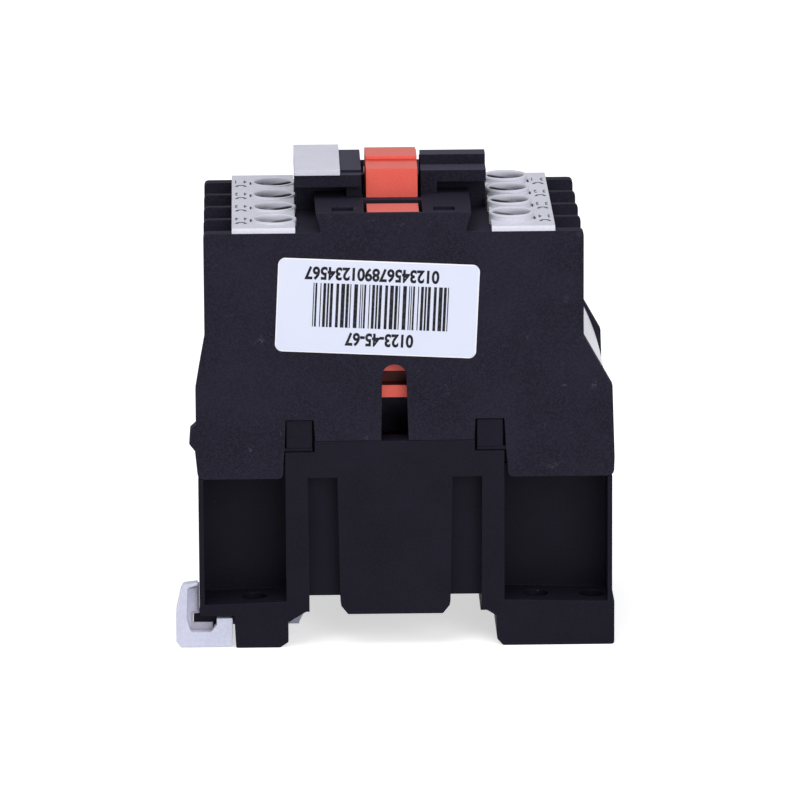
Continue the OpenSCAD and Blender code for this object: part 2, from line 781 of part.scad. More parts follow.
// Bent strip from the clamp down to the fixed tip
module fixed_contact(i, sx) translate([0, pole_y(i), 0]) mirror([sx < 0 ? 1 : 0, 0, 0]) {
    color(brass) difference() {
        union() {
            box(block_in - strip_t - 0.1, block_out, -strip_w / 2, strip_w / 2, terminal_z, strip_top);
            box(block_in - strip_t - 0.1, block_in - 0.1, -strip_w / 2, strip_w / 2, chamber_z, strip_top);
            box(tip_x - tip_size / 2 - 0.4, block_in - 0.1, -strip_w / 2 + 0.8, strip_w / 2 - 0.8,
                chamber_z, chamber_z + strip_t);
        }
        translate([terminal_x, 0, terminal_z - 1]) cylinder(r = shank_r + fit, h = 4);
    }
    color([0.85, 0.85, 0.87]) box(tip_x - tip_size / 2, tip_x + tip_size / 2, -tip_size / 2, tip_size / 2,
        chamber_z + strip_t - eps, fixed_tip_top);
}

module moving_bridge(i) translate([0, pole_y(i), 0]) {
    color(brass) box(-bridge_half, bridge_half, -bridge_w / 2, bridge_w / 2, bridge_z, bridge_z + strip_t);
    color([0.85, 0.85, 0.87]) both_x() box(tip_x - tip_size / 2, tip_x + tip_size / 2,
        -tip_size / 2, tip_size / 2, bridge_tip_z, bridge_z + eps);
}

module contact_spring(i) color(steel) translate([0, pole_y(i), bridge_z + strip_t])
    helix(2, window_top - bridge_z - strip_t, 4, 0.5);

// ---------------------------------------------------------------- carrier

module contact_carrier() color(signal_orange) difference() {
    union() {
        // Comb that passes up between the poles
        box(-carrier_w / 2, carrier_w / 2, -skirt_out, skirt_out, saddle_z, comb_top);
        both_y() box(-carrier_w / 2, carrier_w / 2, bar_out + 0.3, skirt_out, comb_top - 1, arm_top);
        // Head in front of the plateau, with its middle rib
        box(-carrier_w / 2, carrier_w / 2, -head_y, head_y, comb_top - 1, rib_z - 0.95);
        box(-carrier_w / 2, carrier_w / 2, -3, 3, rib_z - 2, rib_z);
        // Saddle over the moving core, its cheeks and the skirts that the interlock reads
        box(-15.5, 15.5, -16.4, 16.4, saddle_z, saddle_top);
        box(-6, 6, -skirt_out, skirt_out, saddle_z, saddle_top);
        both_y() box(-cheek_x, cheek_x, core_t / 2 + 0.3, core_t / 2 + 2.5, armature_top - 7, saddle_z + eps);
        both_y() box(-6, 6, skirt_in, skirt_out, skirt_z, saddle_z + eps);
    }
    for (i = [0:poles - 1]) translate([0, pole_y(i), 0])
        box(-20, 20, -window_w / 2, window_w / 2, bridge_z, window_top);
    // Groove that the interlock's finger enters
    both_y() box(-20, 20, groove_in, skirt_out + 1, groove_z, groove_top);
    // Key slot through the cheeks
    box(-2.6, 2.6, -9.9, 9.9, armature_top - 4.4, armature_top - 2.6);
    // Undercut line below the middle rib
    both_y() box(-20, 20, 2.6, 3.4, rib_z - 0.96, rib_z - 0.6);
}

// ---------------------------------------------------------------- white trim

// Funnel that guides a screwdriver on to a clamp screw, with a collar above the plate
module funnel(collar) {
    rotate_extrude() polygon([[2.7, -1.9], [funnel_r, plate_t + collar + eps],
        [funnel_r + funnel_rim, plate_t + collar + eps], [funnel_r + funnel_rim, -1.9]]);
}

module marking_plate(sx) color(plate_white) translate([sx * (plate_in + plate_out) / 2, 0, deck_z]) {
    plate_l = plate_out - plate_in;
    difference() {
        along_y(-half_w, half_w) translate([-plate_l / 2, 0]) square([plate_l, plate_t]);
        for (i = [0:poles - 1]) translate([sx * (terminal_x - (plate_in + plate_out) / 2), pole_y(i), -1])
            cylinder(r = funnel_r + 0.3, h = plate_t + 2);
        // Chamfer along the two side edges
        both_y() translate([-plate_l, half_w, plate_t - 0.4]) rotate([45, 0, 0]) cube([plate_l * 2, 2, 2]);
    }
    for (i = [0:poles - 1]) translate([sx * (terminal_x - (plate_in + plate_out) / 2), pole_y(i), 0])
        funnel(sx > 0 ? collar_h : 0);
}

module label_plate() color([0.8, 0.8, 0.85]) {
    box(-plate_in, -shelf_in - fit, -label_half, label_half, left_flange_top, left_flange_top + label_t);
    for (sy = [-1, 1]) translate([-(plate_in + shelf_in) / 2, sy * peg_y, left_flange_top - peg_l])
        cylinder(r = 1, h = peg_l + eps);
}

module end_plate() color(plate_white)
    along_y(-inner_w + 0.1, inner_w - 0.1) arc_band(arc_r - end_t, arc_r, arc_low + fit, arc_high);

// ---------------------------------------------------------------- rail clip

module clip_cheek() {
    polygon(rounded([
        [-clip_out + 0.9, 0.2, 0.3],
        [-clip_out, 1.2, 0.3],
        [-clip_out, 6.2, 1],
        [-clip_out + 1.2, clip_top - 0.3, 0.8],
        [-base_left - 0.3, clip_top, 0.2],
        [-base_left - 0.3, clip_top - 0.4, 0.1],
        [-clip_out + 2.1, clip_top - 1, 0.6],
        [-clip_out + 1.9, 5.5, 0.5],
        [-clip_out + 2.6, 2.9, 0.8],
        [-lug_x - 1, 2.9, 0.8],
        [-lug_x, 4.2, 0.3],
        [-lug_x, clip_foot_top, 0.1],
        [-clip_foot_in, clip_foot_top, 0.2],
        [-clip_foot_in, 0.2, 0.3]
    ]));
}

// Web behind the ear's rim, open where the base's nose closes
module clip_web() {
    polygon(rounded([
        [-clip_out + 0.9, 0.2, 0.3],
        [-clip_out, 1.2, 0.3],
        [-clip_out, 6.2, 1],
        [-clip_out + 0.9, clip_web_top - 0.2, 0.8],
        [-base_left - 0.4, clip_web_top, 0.2],
        [-base_left - 0.4, ledge_z + 0.5, 0],
        [-ledge_out - 0.5, ledge_z + 0.3, 0],
        [-ledge_out - 0.5, clip_bar_top, 0.3],
        [-clip_foot_in, clip_bar_top, 0],
        [-clip_foot_in, 0.2, 0.3]
    ]));
}

module rail_clip() color(plate_white) difference() {
    union() {
        // Ear that a screwdriver pulls, on the near side only
        along_y(-half_w + 0.2, -clip_ear_in) clip_cheek();
        along_y(-clip_ear_in - eps, -clip_web_in) clip_web();
        // Bar across under the base, its far foot and the tongue
        box(-base_left + 0.2, -clip_foot_in, -clip_ear_in, half_w - 0.2, 0.2, clip_bar_top);
        box(-lug_x, -clip_foot_in, clip_ear_in, half_w - 0.2, 0.2, clip_foot_top);
        box(-base_left + 0.2, -rail_w / 2 + 0.5, -tongue_half, tongue_half, tongue_z, tongue_top);
        // Guide ribs and the hook under the rail's flange
        both_y() box(-clip_foot_in, -20, tongue_half - eps, channel_half + 1, 1.4, 2.4);
        along_y(-tongue_half, tongue_half) polygon([[-hook_root, tongue_z], [-rail_w / 2 + 0.3, tongue_z],
            [-rail_w / 2 + lip_reach, lip_top - 0.6], [-rail_w / 2 + lip_reach, lip_top], [-hook_root, lip_top]]);
    }
    // Slot for the base's lug and the spring
    box(-lug_x - 1.8, -spring_wall_x, -2.6, 2.6, -1, 8);
}

module clip_spring() color(steel) translate([-lug_x, 0, spring_z]) rotate([0, 90, 0])
    helix(1.6, lug_x - spring_wall_x, 6, 0.45);

base_housing();
upper_housing();
mirror([0, 1, 0]) side_wall(near_left_end);  // side_wall_near
side_wall(far_left_end);  // side_wall_far
end_wall_left();
end_wall_right();
aux_block_left();
aux_block_right();
contact_block(-1);  // contact_block_left
contact_block(1);  // contact_block_right
pole_rib(1, -1);  // pole_rib_left_1
pole_rib(2, -1);  // pole_rib_left_2
pole_rib(3, -1);  // pole_rib_left_3
pole_rib(1, 1);  // pole_rib_right_1
pole_rib(2, 1);  // pole_rib_right_2
pole_rib(3, 1);  // pole_rib_right_3
fixed_core();
core_buffer();
shading_rings();
coil_bobbin();
coil_winding();
return_springs();
coil_terminal(-1);  // coil_terminal_1
coil_terminal(1);  // coil_terminal_2
coil_screw(-1);  // coil_screw_1
coil_screw(1);  // coil_screw_2
contact_carrier();
moving_core();
core_key();
moving_bridge(0);  // moving_bridge_1
moving_bridge(1);  // moving_bridge_2
moving_bridge(2);  // moving_bridge_3
moving_bridge(3);  // moving_bridge_4
contact_spring(0);  // contact_spring_1
contact_spring(1);  // contact_spring_2
contact_spring(2);  // contact_spring_3
contact_spring(3);  // contact_spring_4
fixed_contact(0, -1);  // fixed_contact_1
fixed_contact(0, 1);  // fixed_contact_2
fixed_contact(1, -1);  // fixed_contact_3
fixed_contact(1, 1);  // fixed_contact_4
fixed_contact(2, -1);  // fixed_contact_5
fixed_contact(2, 1);  // fixed_contact_6
fixed_contact(3, -1);  // fixed_contact_7
fixed_contact(3, 1);  // fixed_contact_8
terminal_screw(0, -1);  // terminal_screw_1
terminal_screw(0, 1);  // terminal_screw_2
terminal_screw(1, -1);  // terminal_screw_3
terminal_screw(1, 1);  // terminal_screw_4
terminal_screw(2, -1);  // terminal_screw_5
terminal_screw(2, 1);  // terminal_screw_6
terminal_screw(3, -1);  // terminal_screw_7
terminal_screw(3, 1);  // terminal_screw_8
marking_plate(-1);  // marking_plate_left
marking_plate(1);  // marking_plate_right
label_plate();
end_plate();
rail_clip();
clip_spring();
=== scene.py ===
# %% [markdown]
# # A four-pole block relay
#
# The CAD frame already holds every rigid piece of the relay: the black mouldings, the orange-red
# contact carrier, the magnet, the screws and the white trim. Blender adds what CAD leaves out:
# the grain of the mouldings, the paper label with its printed bars, the small terminal numbers,
# the lips of the funnels, smooth wire springs, light, and a camera that stands where the
# photographer stood.

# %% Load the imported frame
import bpy
import numpy as np
from mathutils import Matrix, Vector
from mathutils.bvhtree import BVHTree


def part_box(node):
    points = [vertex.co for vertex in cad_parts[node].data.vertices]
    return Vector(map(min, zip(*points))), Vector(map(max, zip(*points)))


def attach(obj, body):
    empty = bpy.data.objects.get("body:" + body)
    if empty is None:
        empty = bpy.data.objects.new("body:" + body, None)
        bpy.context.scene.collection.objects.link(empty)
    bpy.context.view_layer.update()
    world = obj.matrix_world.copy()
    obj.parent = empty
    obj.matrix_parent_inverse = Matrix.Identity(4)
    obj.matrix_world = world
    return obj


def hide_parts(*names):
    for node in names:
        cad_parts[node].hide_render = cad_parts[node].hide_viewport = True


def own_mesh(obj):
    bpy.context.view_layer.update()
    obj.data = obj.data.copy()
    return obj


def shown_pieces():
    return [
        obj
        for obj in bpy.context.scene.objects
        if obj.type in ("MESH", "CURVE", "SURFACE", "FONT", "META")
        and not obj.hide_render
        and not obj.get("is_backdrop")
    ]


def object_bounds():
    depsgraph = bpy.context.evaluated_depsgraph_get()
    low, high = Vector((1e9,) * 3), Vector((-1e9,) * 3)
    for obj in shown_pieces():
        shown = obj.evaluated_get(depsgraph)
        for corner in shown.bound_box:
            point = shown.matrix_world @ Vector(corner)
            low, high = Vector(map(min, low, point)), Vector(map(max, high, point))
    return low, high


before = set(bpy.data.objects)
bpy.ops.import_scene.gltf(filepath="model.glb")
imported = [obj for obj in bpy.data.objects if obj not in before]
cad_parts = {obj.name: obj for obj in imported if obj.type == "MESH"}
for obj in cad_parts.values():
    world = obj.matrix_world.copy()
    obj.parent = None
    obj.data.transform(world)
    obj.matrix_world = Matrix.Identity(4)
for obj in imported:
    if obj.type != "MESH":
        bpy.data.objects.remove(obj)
MM = 0.001
cad_low, cad_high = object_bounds()
print("CAD box in millimetres:", [round(v / MM, 2) for v in (*cad_low, *cad_high)])

# %% [markdown]
# ## The camera
#
# A product photograph is taken from far away with a long lens, so that upright edges stay nearly
# parallel. The camera was fitted to corners of the mouldings that show in the photograph.
# Its place is in metres, and its angles, in radians, are a turn, a tilt down and a very small
# roll. The named points say where things show in the photograph: some place the label and its
# marks, and all are measured at the end.

# %% Image points, in the photograph's 800 by 800 frame
FRAME_SIDE = 800
POINTS = {
    "object_left": (175.6, None),
    "object_right": (613.9, None),
    "object_top": (None, 144.5),
    "object_bottom": (None, 648.4),
    "wall_corner_left": (204.5, 234.0),
    "wall_corner_right": (583.0, 230.5),
    "label_plate_near": (294.4, 176.0),
    "label_plate_far": (338.3, 144.5),
    "marking_near_left": (231.5, 233.2),
    "sticker_top_left": (278.5, 257.5),
    "sticker_top_right": (480.0, 265.0),
    "sticker_low_right": (476.0, 358.5),
    "sticker_low_left": (274.5, 351.0),
    "bars": (380.5, 307.0),
    "long_number": (372.0, 275.0),
    "short_number": (379.0, 340.2),
    "terminal_mark_left": (241.0, 220.5),
    "terminal_mark_right": (544.5, 217.0),
}
print(len(POINTS), "image points")

# %% Camera
CAMERA_PLACE = Vector((-0.0244377, -1.2201917, 0.3422059))
CAMERA_YAW = -0.0212109
CAMERA_PITCH = 0.2431820
CAMERA_ROLL = -0.0052532
SENSOR = 36.0
FOCAL_PIXELS = 7018.4
NEAREST_SEEN = 0.05


def add_object(name, data):
    """An object at the origin that holds the data, linked to the scene."""
    made = bpy.data.objects.new(name, data)
    bpy.context.scene.collection.objects.link(made)
    return made


camera_data = bpy.data.cameras.new("photo_camera")
camera_data.sensor_fit = "AUTO"
camera_data.sensor_width = SENSOR
camera_data.lens = FOCAL_PIXELS * SENSOR / FRAME_SIDE
camera_data.clip_start = NEAREST_SEEN
camera = add_object("photo_camera", camera_data)
camera.matrix_world = (
    Matrix.Translation(CAMERA_PLACE)
    @ Matrix.Rotation(CAMERA_YAW, 4, "Z")
    @ Matrix.Rotation(np.pi / 2 - CAMERA_PITCH, 4, "X")
    @ Matrix.Rotation(CAMERA_ROLL, 4, "Z")
)
bpy.context.scene.camera = camera
print("lens in millimetres:", round(camera_data.lens, 2))

# %% [markdown]
# ## From a point in the picture to a point on the relay
#
# A point of the picture is a ray from the camera. The ray is sent against the triangles of the
# piece that carries the detail, and it stops where it meets them. The same sum the other way
# round says where a finished corner shows, which is how the points are measured at the end.

# %% Placement by image point
# Metres from the camera at which a ray that misses is tried.
SEARCH_STEPS = np.linspace(1.1, 1.5, 200)


def camera_axes():
    """Where the camera stands and its turning matrix."""
    return camera.matrix_world.translation, camera.matrix_world.to_3x3()


def ray_of(point):
    """A picture point's ray in the camera's axes.

    It is (x - W/2 + shift_x * L, H/2 - y + shift_y * L, -L * lens / sensor), with W = H = L.
    """
    place, turn = camera_axes()
    side = FRAME_SIDE
    shift_x = camera_data.shift_x * side
    shift_y = camera_data.shift_y * side
    depth = -side * camera_data.lens / camera_data.sensor_width
    local = Vector((point[0] - side / 2 + shift_x, side / 2 - point[1] + shift_y, depth))
    return place, (turn @ local).normalized()


def tree_of(name):
    """A search tree over the triangles of a CAD node, as it is placed."""
    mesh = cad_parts[name].data
    corners = [v.co.copy() for v in mesh.vertices]
    return BVHTree.FromPolygons(corners, [list(face.vertices) for face in mesh.polygons])


def on_surface(point, tree):
    """Where a picture point's ray meets the tree; a miss takes the place nearest the ray."""
    place, direction = ray_of(point)
    hit = tree.ray_cast(place, direction)[0]
    if hit is None:
        near = [tree.find_nearest(place + direction * step) for step in SEARCH_STEPS]
        hit = min(near, key=lambda found: found[3])[0]
    return hit


def shows_at(corners):
    """Picture positions of an array of places: the ray's sum turned round."""
    place, turn = camera_axes()
    local = (np.asarray(corners, float).reshape(-1, 3) - np.array(place)) @ np.array(turn)
    scale = FRAME_SIDE * camera_data.lens / camera_data.sensor_width
    x = FRAME_SIDE / 2 - camera_data.shift_x * FRAME_SIDE - scale * local[:, 0] / local[:, 2]
    y = FRAME_SIDE / 2 + camera_data.shift_y * FRAME_SIDE + scale * local[:, 1] / local[:, 2]
    return np.stack([x, y], axis=1)


near_wall = tree_of("side_wall_near")
first_corner = on_surface(POINTS["sticker_top_left"], near_wall)
print("the label's first corner lies at", [round(v / MM, 2) for v in first_corner])

# %% [markdown]
# ## Small tools for materials
#
# Every finish of the relay is one Principled shader fed by a few patterns. The patterns read
# Object coordinates turned into millimetres, so a grain of 0.2 is a fifth of a millimetre on
# every piece. A written colour is an ordinary screen colour; the shader wants it in linear light.
# A helper that is given a node's output works in the tree of that output, its id_data.

# %% Node helpers
def screen_colour(colour):
    """A 0 to 255 screen colour in linear light.

    The formula is ((c + 0.055) / 1.055) ** 2.4, with a straight line near black.
    """
    c = np.array(colour) / 255
    linear = np.where(c <= 0.04045, c / 12.92, ((c + 0.055) / 1.055) ** 2.4)
    return (*linear.tolist(), 1.0)


def new_finish(name):
    """An empty material with one Principled shader joined to its output."""
    material = bpy.data.materials.new(name)
    material.use_nodes = True
    tree = material.node_tree
    tree.nodes.clear()
    output = tree.nodes.new("ShaderNodeOutputMaterial")
    shader = tree.nodes.new("ShaderNodeBsdfPrincipled")
    tree.links.new(shader.outputs["BSDF"], output.inputs["Surface"])
    return material, tree, shader


def fill(made, inputs):
    """Fills a node's inputs; each takes a number, a colour or another node's output."""
    for key, value in inputs.items():
        if isinstance(value, bpy.types.NodeSocket):
            made.id_data.links.new(value, made.inputs[key])
        else:
            made.inputs[key].default_value = value


def node(tree, kind, inputs=None, **settings):
    """One node, with its options set and its inputs filled."""
    made = tree.nodes.new("ShaderNode" + kind)
    for key, value in settings.items():
        setattr(made, key, value)
    fill(made, inputs or {})
    return made


def millimetres(tree, stretch=(1, 1, 1)):
    """Object coordinates in millimetres, stretched where a pattern has a direction."""
    place = node(tree, "TexCoord").outputs["Object"]
    scale = [s / MM for s in stretch]
    return node(tree, "Mapping", {"Vector": place, "Scale": scale}).outputs[0]


def xyz(vector):
    """The three parts of a vector."""
    return node(vector.id_data, "SeparateXYZ", {0: vector}).outputs


print("node helpers ready")

# %% Patterns and sums
def noise(place, size, detail=2.0, roughness=0.5):
    """Cloudy pattern from 0 to 1 whose blobs are about size millimetres across."""
    return node(place.id_data, "TexNoise", {"Vector": place, "Scale": 1 / size, "Detail": detail,
                                            "Roughness": roughness}).outputs[0]


def remap(value, low, high, to_low=0.0, to_high=1.0):
    """A straight line from low..high to to_low..to_high, clamped at both ends."""
    return node(value.id_data, "MapRange", {"Value": value, "From Min": low, "From Max": high,
                                            "To Min": to_low, "To Max": to_high}).outputs[0]


def blend(share, first, second):
    """first where share is 0, second where it is 1; each is an output or a screen colour."""
    first, second = (screen_colour(c) if isinstance(c, tuple) else c for c in (first, second))
    ends = {0: share, 6: first, 7: second}
    return node(share.id_data, "Mix", ends, data_type="RGBA").outputs[2]


def calc(operation, first, second=0.0):
    """One sum on one or two values."""
    return node(first.id_data, "Math", {0: first, 1: second}, operation=operation).outputs[0]


def product(first, *others):
    """All the values multiplied, from left to right."""
    for value in others:
        first = calc("MULTIPLY", first, value)
    return first


def between(value, low, high, soft):
    """1 from low to high and 0 outside, with a slope of width soft inside each end."""
    return product(remap(value, low, low + soft), remap(value, high, high - soft))


def lay_over(material, share, colour):
    """Lays a screen colour over a finish's own colour, by a 0 to 1 share."""
    shader = shader_of(material)
    under = shader.inputs["Base Color"].links[0].from_socket
    fill(shader, {"Base Color": blend(share, under, colour)})


def shader_of(material):
    """The Principled shader of a finish."""
    return next(n for n in material.node_tree.nodes if n.type == "BSDF_PRINCIPLED")


print("patterns ready")

# %% [markdown]
# ## Rounded edges and what happens on them
#
# No moulded edge is razor sharp. The Bevel node turns the shading round each edge by a fraction
# of a millimetre without touching the mesh, so edges catch a thin line of light. The same node,
# compared with the mesh's own normal, gives a mask of the edges, which the recipes paint a little
# paler: partly wear, as on an edge that handling has rubbed, and partly a painted highlight.

# %% Edge tools
SPECK_KEPT, SPECK_SURE = 0.55, 0.6
UP_START, UP_FULL = 0.3, 0.95


def own_normal(tree):
    """The mesh's own normal, before any rounding."""
    return node(tree, "NewGeometry").outputs["Normal"]


def rounded_edges(tree, radius):
    """Shading normal rounded over radius millimetres, and a 0 to 1 mask of the edges."""
    bevel = node(tree, "Bevel", {"Radius": radius * MM}, samples=6).outputs[0]
    agree = node(tree, "VectorMath", {0: bevel, 1: own_normal(tree)}, operation="DOT_PRODUCT")
    return bevel, remap(agree.outputs["Value"], 0.995, 0.8)


def raised(height, depth, normal=None):
    """Bump of depth millimetres from a 0 to 1 height, on top of a normal where one is given."""
    under = {} if normal is None else {"Normal": normal}
    inputs = {"Height": height, "Distance": depth * MM, **under}
    return node(height.id_data, "Bump", inputs).outputs[0]


def specks(place, spacing, size):
    """Sparse dots: 1 near the middle of a cell about spacing wide, in under half of the cells."""
    cells = node(place.id_data, "TexVoronoi", {"Vector": place, "Scale": 1 / spacing})
    dot = remap(cells.outputs["Distance"], size / spacing, 0.5 * size / spacing)
    return product(dot, remap(cells.outputs["Color"], SPECK_KEPT, SPECK_SURE))


def upward(tree):
    """1 on faces that look up, 0 on walls: the upright part of the face's normal."""
    return remap(xyz(own_normal(tree))[2], UP_START, UP_FULL)


print("edge tools ready")

# %% [markdown]
# ## Black mouldings
#
# The upper moulding has a fine matt grain, such as a spark-eroded tool leaves, slightly violet
# in the studio's light, with dust specks. The base is smoother and a touch darker. Both share one
# recipe with different numbers: a cloudy colour, a fine bump, paler edges that are part wear and
# part painted highlight, and a pale film on faces that look up, part dust and part painted sheen.
# Where dust, wear and scuffs fall is left to noise; no mark of the real relay is copied.

# %% Recipe for moulded plastic
MOULD_EDGE = 0.22
CLOUD_SIZE, EDGE_PATCH_SIZE = 9.0, 2.5
SCUFF_PATCH, SCUFF_MARK = 2.6, 0.35
SPECK_SPACING, SPECK_SIZE = 5.0, 0.16
SEAM_FLAT, SEAM_ROUND = 0.28, 0.34
BLUISH_DUST_AND_SHEEN = (136, 134, 160)


def beside_seam(place, seam):
    """0 within SEAM_FLAT millimetres of |Y| = seam, 1 beyond SEAM_ROUND."""
    across = calc("ABSOLUTE", xyz(place)[1])
    return remap(calc("ABSOLUTE", calc("SUBTRACT", across, seam)), SEAM_FLAT, SEAM_ROUND)


def moulded(name, colour, pale_wear_and_highlight, grain, depth, rough, shine, dust=0.0, dust_and_sheen_top=0.0,
            dust_and_sheen_colour=BLUISH_DUST_AND_SHEEN, edge_highlight_gain=1.0, seam=None, high_dust_and_sheen=None, mottling=0.35,
            scuffs=0.0):
    """Matt plastic: grain and depth in mm; dust, the upward film, mottling and scuffs from 0 to 1.

    Shading stays flat at |Y| = seam, and the high film is a height in mm with the film above it.
    Both films are part dust and part painted sheen on faces that look up.
    Scuffs are patches of broken pale marks, where a slow and a fine noise are both high.
    """
    material, tree, shader = new_finish(name)
    place = millimetres(tree)
    normal, edge = rounded_edges(tree, MOULD_EDGE)
    if seam:
        away = beside_seam(place, seam)
        normal = node(tree, "Mix", {0: away, 4: own_normal(tree), 5: normal},
                      data_type="VECTOR").outputs[1]
        edge = product(edge, away)
    fine = noise(place, grain, 3.0, 0.6)
    cloud = remap(noise(place, CLOUD_SIZE, 3.0, 0.55), 0.35, 0.7)
    base = blend(product(cloud, 0.35), colour, pale_wear_and_highlight)
    base = blend(remap(fine, 0.42, 0.62, 0.0, mottling), base, pale_wear_and_highlight)
    edge_patches = remap(noise(place, EDGE_PATCH_SIZE), 0.4, 0.7, 0.25, 1.0)
    # Edges are painted paler, part wear and part painted highlight, brightened by the gain.
    bright = tuple(min(255, round(edge_highlight_gain * c)) for c in pale_wear_and_highlight)
    base = blend(product(edge, edge_patches, 0.6), base, bright)
    # Faces that look up get a pale film, part dust and part painted sheen.
    if dust_and_sheen_top:
        amount = dust_and_sheen_top
        if high_dust_and_sheen:
            level, film = high_dust_and_sheen
            amount = remap(xyz(place)[2], level - 0.5, level, dust_and_sheen_top, film)
        base = blend(product(upward(tree), amount), base, dust_and_sheen_colour)
    if scuffs:
        patches = remap(noise(place, SCUFF_PATCH, 1.0), 0.71, 0.80)
        broken = remap(noise(place, SCUFF_MARK, 4.0, 0.7), 0.5, 0.7)
        base = blend(product(patches, broken, scuffs), base, dust_and_sheen_colour)
    spots = product(specks(place, SPECK_SPACING, SPECK_SIZE), dust)
    fill(shader, {
        "Base Color": blend(spots, base, dust_and_sheen_colour),
        "Roughness": remap(fine, 0.3, 0.7, rough - 0.06, rough + 0.08),
        "Specular IOR Level": shine,
        "Normal": raised(fine, depth, normal)})
    return material


print("moulding recipe ready")

# %% [markdown]
# The CAD draws the upper moulding as several nodes that meet face to face, but the real one is
# one piece. The seams between its walls and its middle lie near |Y| = 19.9 mm, so the shading is
# kept flat there, and no rounded line gives them away.

# %% Two blacks
WALL_SEAM = 19.9
# The highest tops of the upper moulding get a film that is part dust and part painted sheen.
upper_black = moulded("upper_moulding_black", (24, 22, 33), (43, 41, 56), 0.28, 0.03, 0.62, 0.09,
                      dust=0.8, dust_and_sheen_top=0.03, edge_highlight_gain=1.6, seam=WALL_SEAM,
                      high_dust_and_sheen=(81.0, 0.18), mottling=0.75, scuffs=0.35)
base_black = moulded("base_moulding_black", (20, 19, 29), (33, 31, 45), 0.5, 0.012, 0.5, 0.08,
                     dust=0.5, dust_and_sheen_top=0.015, edge_highlight_gain=1.5)
print(upper_black.name, base_black.name)

# %% [markdown]
# ## Orange-red carrier, white trim, clip and label plate
#
# The carrier is an even orange-red with a pale pink film where it faces up, part dust and part
# painted sheen of light from above. The marking plates and the bare label plate are cool white,
# and the end plate is the brightest white. The rail clip is a natural white plastic that light
# enters, so it gets a little scattering under its surface.

# %% Coloured plastics
# Its upward faces get a pink film, part dust and part painted sheen of light from above.
carrier_orange = moulded("carrier_orange", (240, 96, 84), (246, 122, 106), 0.35, 0.02, 0.5, 0.3,
                         dust=0.2, dust_and_sheen_top=0.36, dust_and_sheen_colour=(206, 142, 138))
plate_white = moulded("marking_plate_white", (210, 210, 224), (232, 233, 244), 0.5, 0.006, 0.42,
                      0.4)
label_grey = moulded("label_plate_grey", (213, 213, 229), (230, 231, 243), 0.5, 0.008, 0.45, 0.35)
end_white = moulded("end_plate_white", (240, 240, 250), (250, 250, 255), 0.5, 0.006, 0.42, 0.4)
bobbin_cream = moulded("bobbin_cream", (214, 208, 188), (230, 226, 210), 0.4, 0.01, 0.5, 0.4)
buffer_rubber = moulded("buffer_rubber", (36, 36, 38), (62, 62, 64), 0.2, 0.02, 0.8, 0.2, dust=0.3)
print("plastics:", [m.name for m in (carrier_orange, plate_white, label_grey, end_white)])

# %% [markdown]
# Behind each nub of the carrier the photograph shows a nearly black recess. CAD has the recess,
# but soft light still fills it with orange, so the material paints shade into a band of |Y| and
# Z there.

# %% Painted shade in the recess behind the nubs
RECESS_LOW, RECESS_HIGH = 46.9, 50.0
RECESS_IN, RECESS_OUT = 16.0, 19.5
RECESS_SOFT = 0.1
RECESS_SHADE_SHARE = 0.92
RECESS_SHADE_RED = (52, 6, 8)

parts = xyz(millimetres(carrier_orange.node_tree))
inside = between(calc("ABSOLUTE", parts[1]), RECESS_IN, RECESS_OUT, RECESS_SOFT)
level = between(parts[2], RECESS_LOW, RECESS_HIGH, RECESS_SOFT)
lay_over(carrier_orange, product(inside, level, RECESS_SHADE_SHARE), RECESS_SHADE_RED)
print("recess from", RECESS_LOW, "to", RECESS_HIGH, "mm up")

# %% Natural plastic of the clip
clip_natural = moulded("rail_clip_natural", (200, 202, 224), (226, 228, 245), 0.6, 0.006, 0.35,
                       0.45, dust=0.15, dust_and_sheen_colour=(150, 150, 165))
fill(shader_of(clip_natural), {
    "Subsurface Weight": 0.35,
    "Subsurface Radius": (1.0, 1.0, 1.1),
    "Subsurface Scale": 1.5 * MM})
print(clip_natural.name, "scatters light over 1.5 mm")

# %% [markdown]
# ## Metals
#
# Screws are zinc plated, strips are brass with silver tips, cores are stacks of thin sheets, the
# winding is fine copper wire, and springs are drawn wire. Each has a direction: sheets lie side
# by side along Y, wire turns lie one above the other along Z, and drawing marks run along a strip.
# The core steel is written darker than bare steel, as painted shade, because the photograph shows
# the open slot under each nub black.

# %% Recipe for metals
METAL_EDGE = 0.1
TARNISH_SIZE, SCRATCH_SIZE = 2.2, 0.3
SCRATCH_HEIGHT = 0.25
METAL_RELIEF = 0.02
GAP_DARK = (30, 28, 28)
EDGE_BRIGHT = (235, 235, 238)


def metal(name, colour, tarnish, rough, lines=None, line_depth=0.0, stretch=(1, 1, 1)):
    """Metal with cloudy tarnish; lines = (axis, pitch in mm) adds ridges across that axis."""
    material, tree, shader = new_finish(name)
    place = millimetres(tree)
    normal, edge = rounded_edges(tree, METAL_EDGE)
    cloud = remap(noise(place, TARNISH_SIZE, 3.0), 0.35, 0.7)
    scratch = noise(millimetres(tree, stretch), SCRATCH_SIZE, 4.0, 0.7)
    base = blend(product(cloud, 0.6), colour, tarnish)
    height = product(scratch, SCRATCH_HEIGHT)
    if lines:
        axis, pitch = lines
        along = xyz(place)["XYZ".index(axis)]
        ridge = calc("SINE", product(along, 2 * np.pi / pitch))
        gap = remap(ridge, -0.7, -0.98)
        base = blend(product(gap, 0.7), base, GAP_DARK)
        height = calc("ADD", height, product(ridge, line_depth))
    # Edges are painted paler, part wear and part painted highlight.
    fill(shader, {
        "Base Color": blend(product(edge, 0.4), base, EDGE_BRIGHT),
        "Metallic": 1.0,
        "Roughness": remap(scratch, 0.3, 0.7, rough - 0.08, rough + 0.12),
        "Normal": raised(height, METAL_RELIEF, normal)})
    return material


zinc = metal("zinc_plated_steel", (188, 190, 194), (150, 150, 150), 0.32)
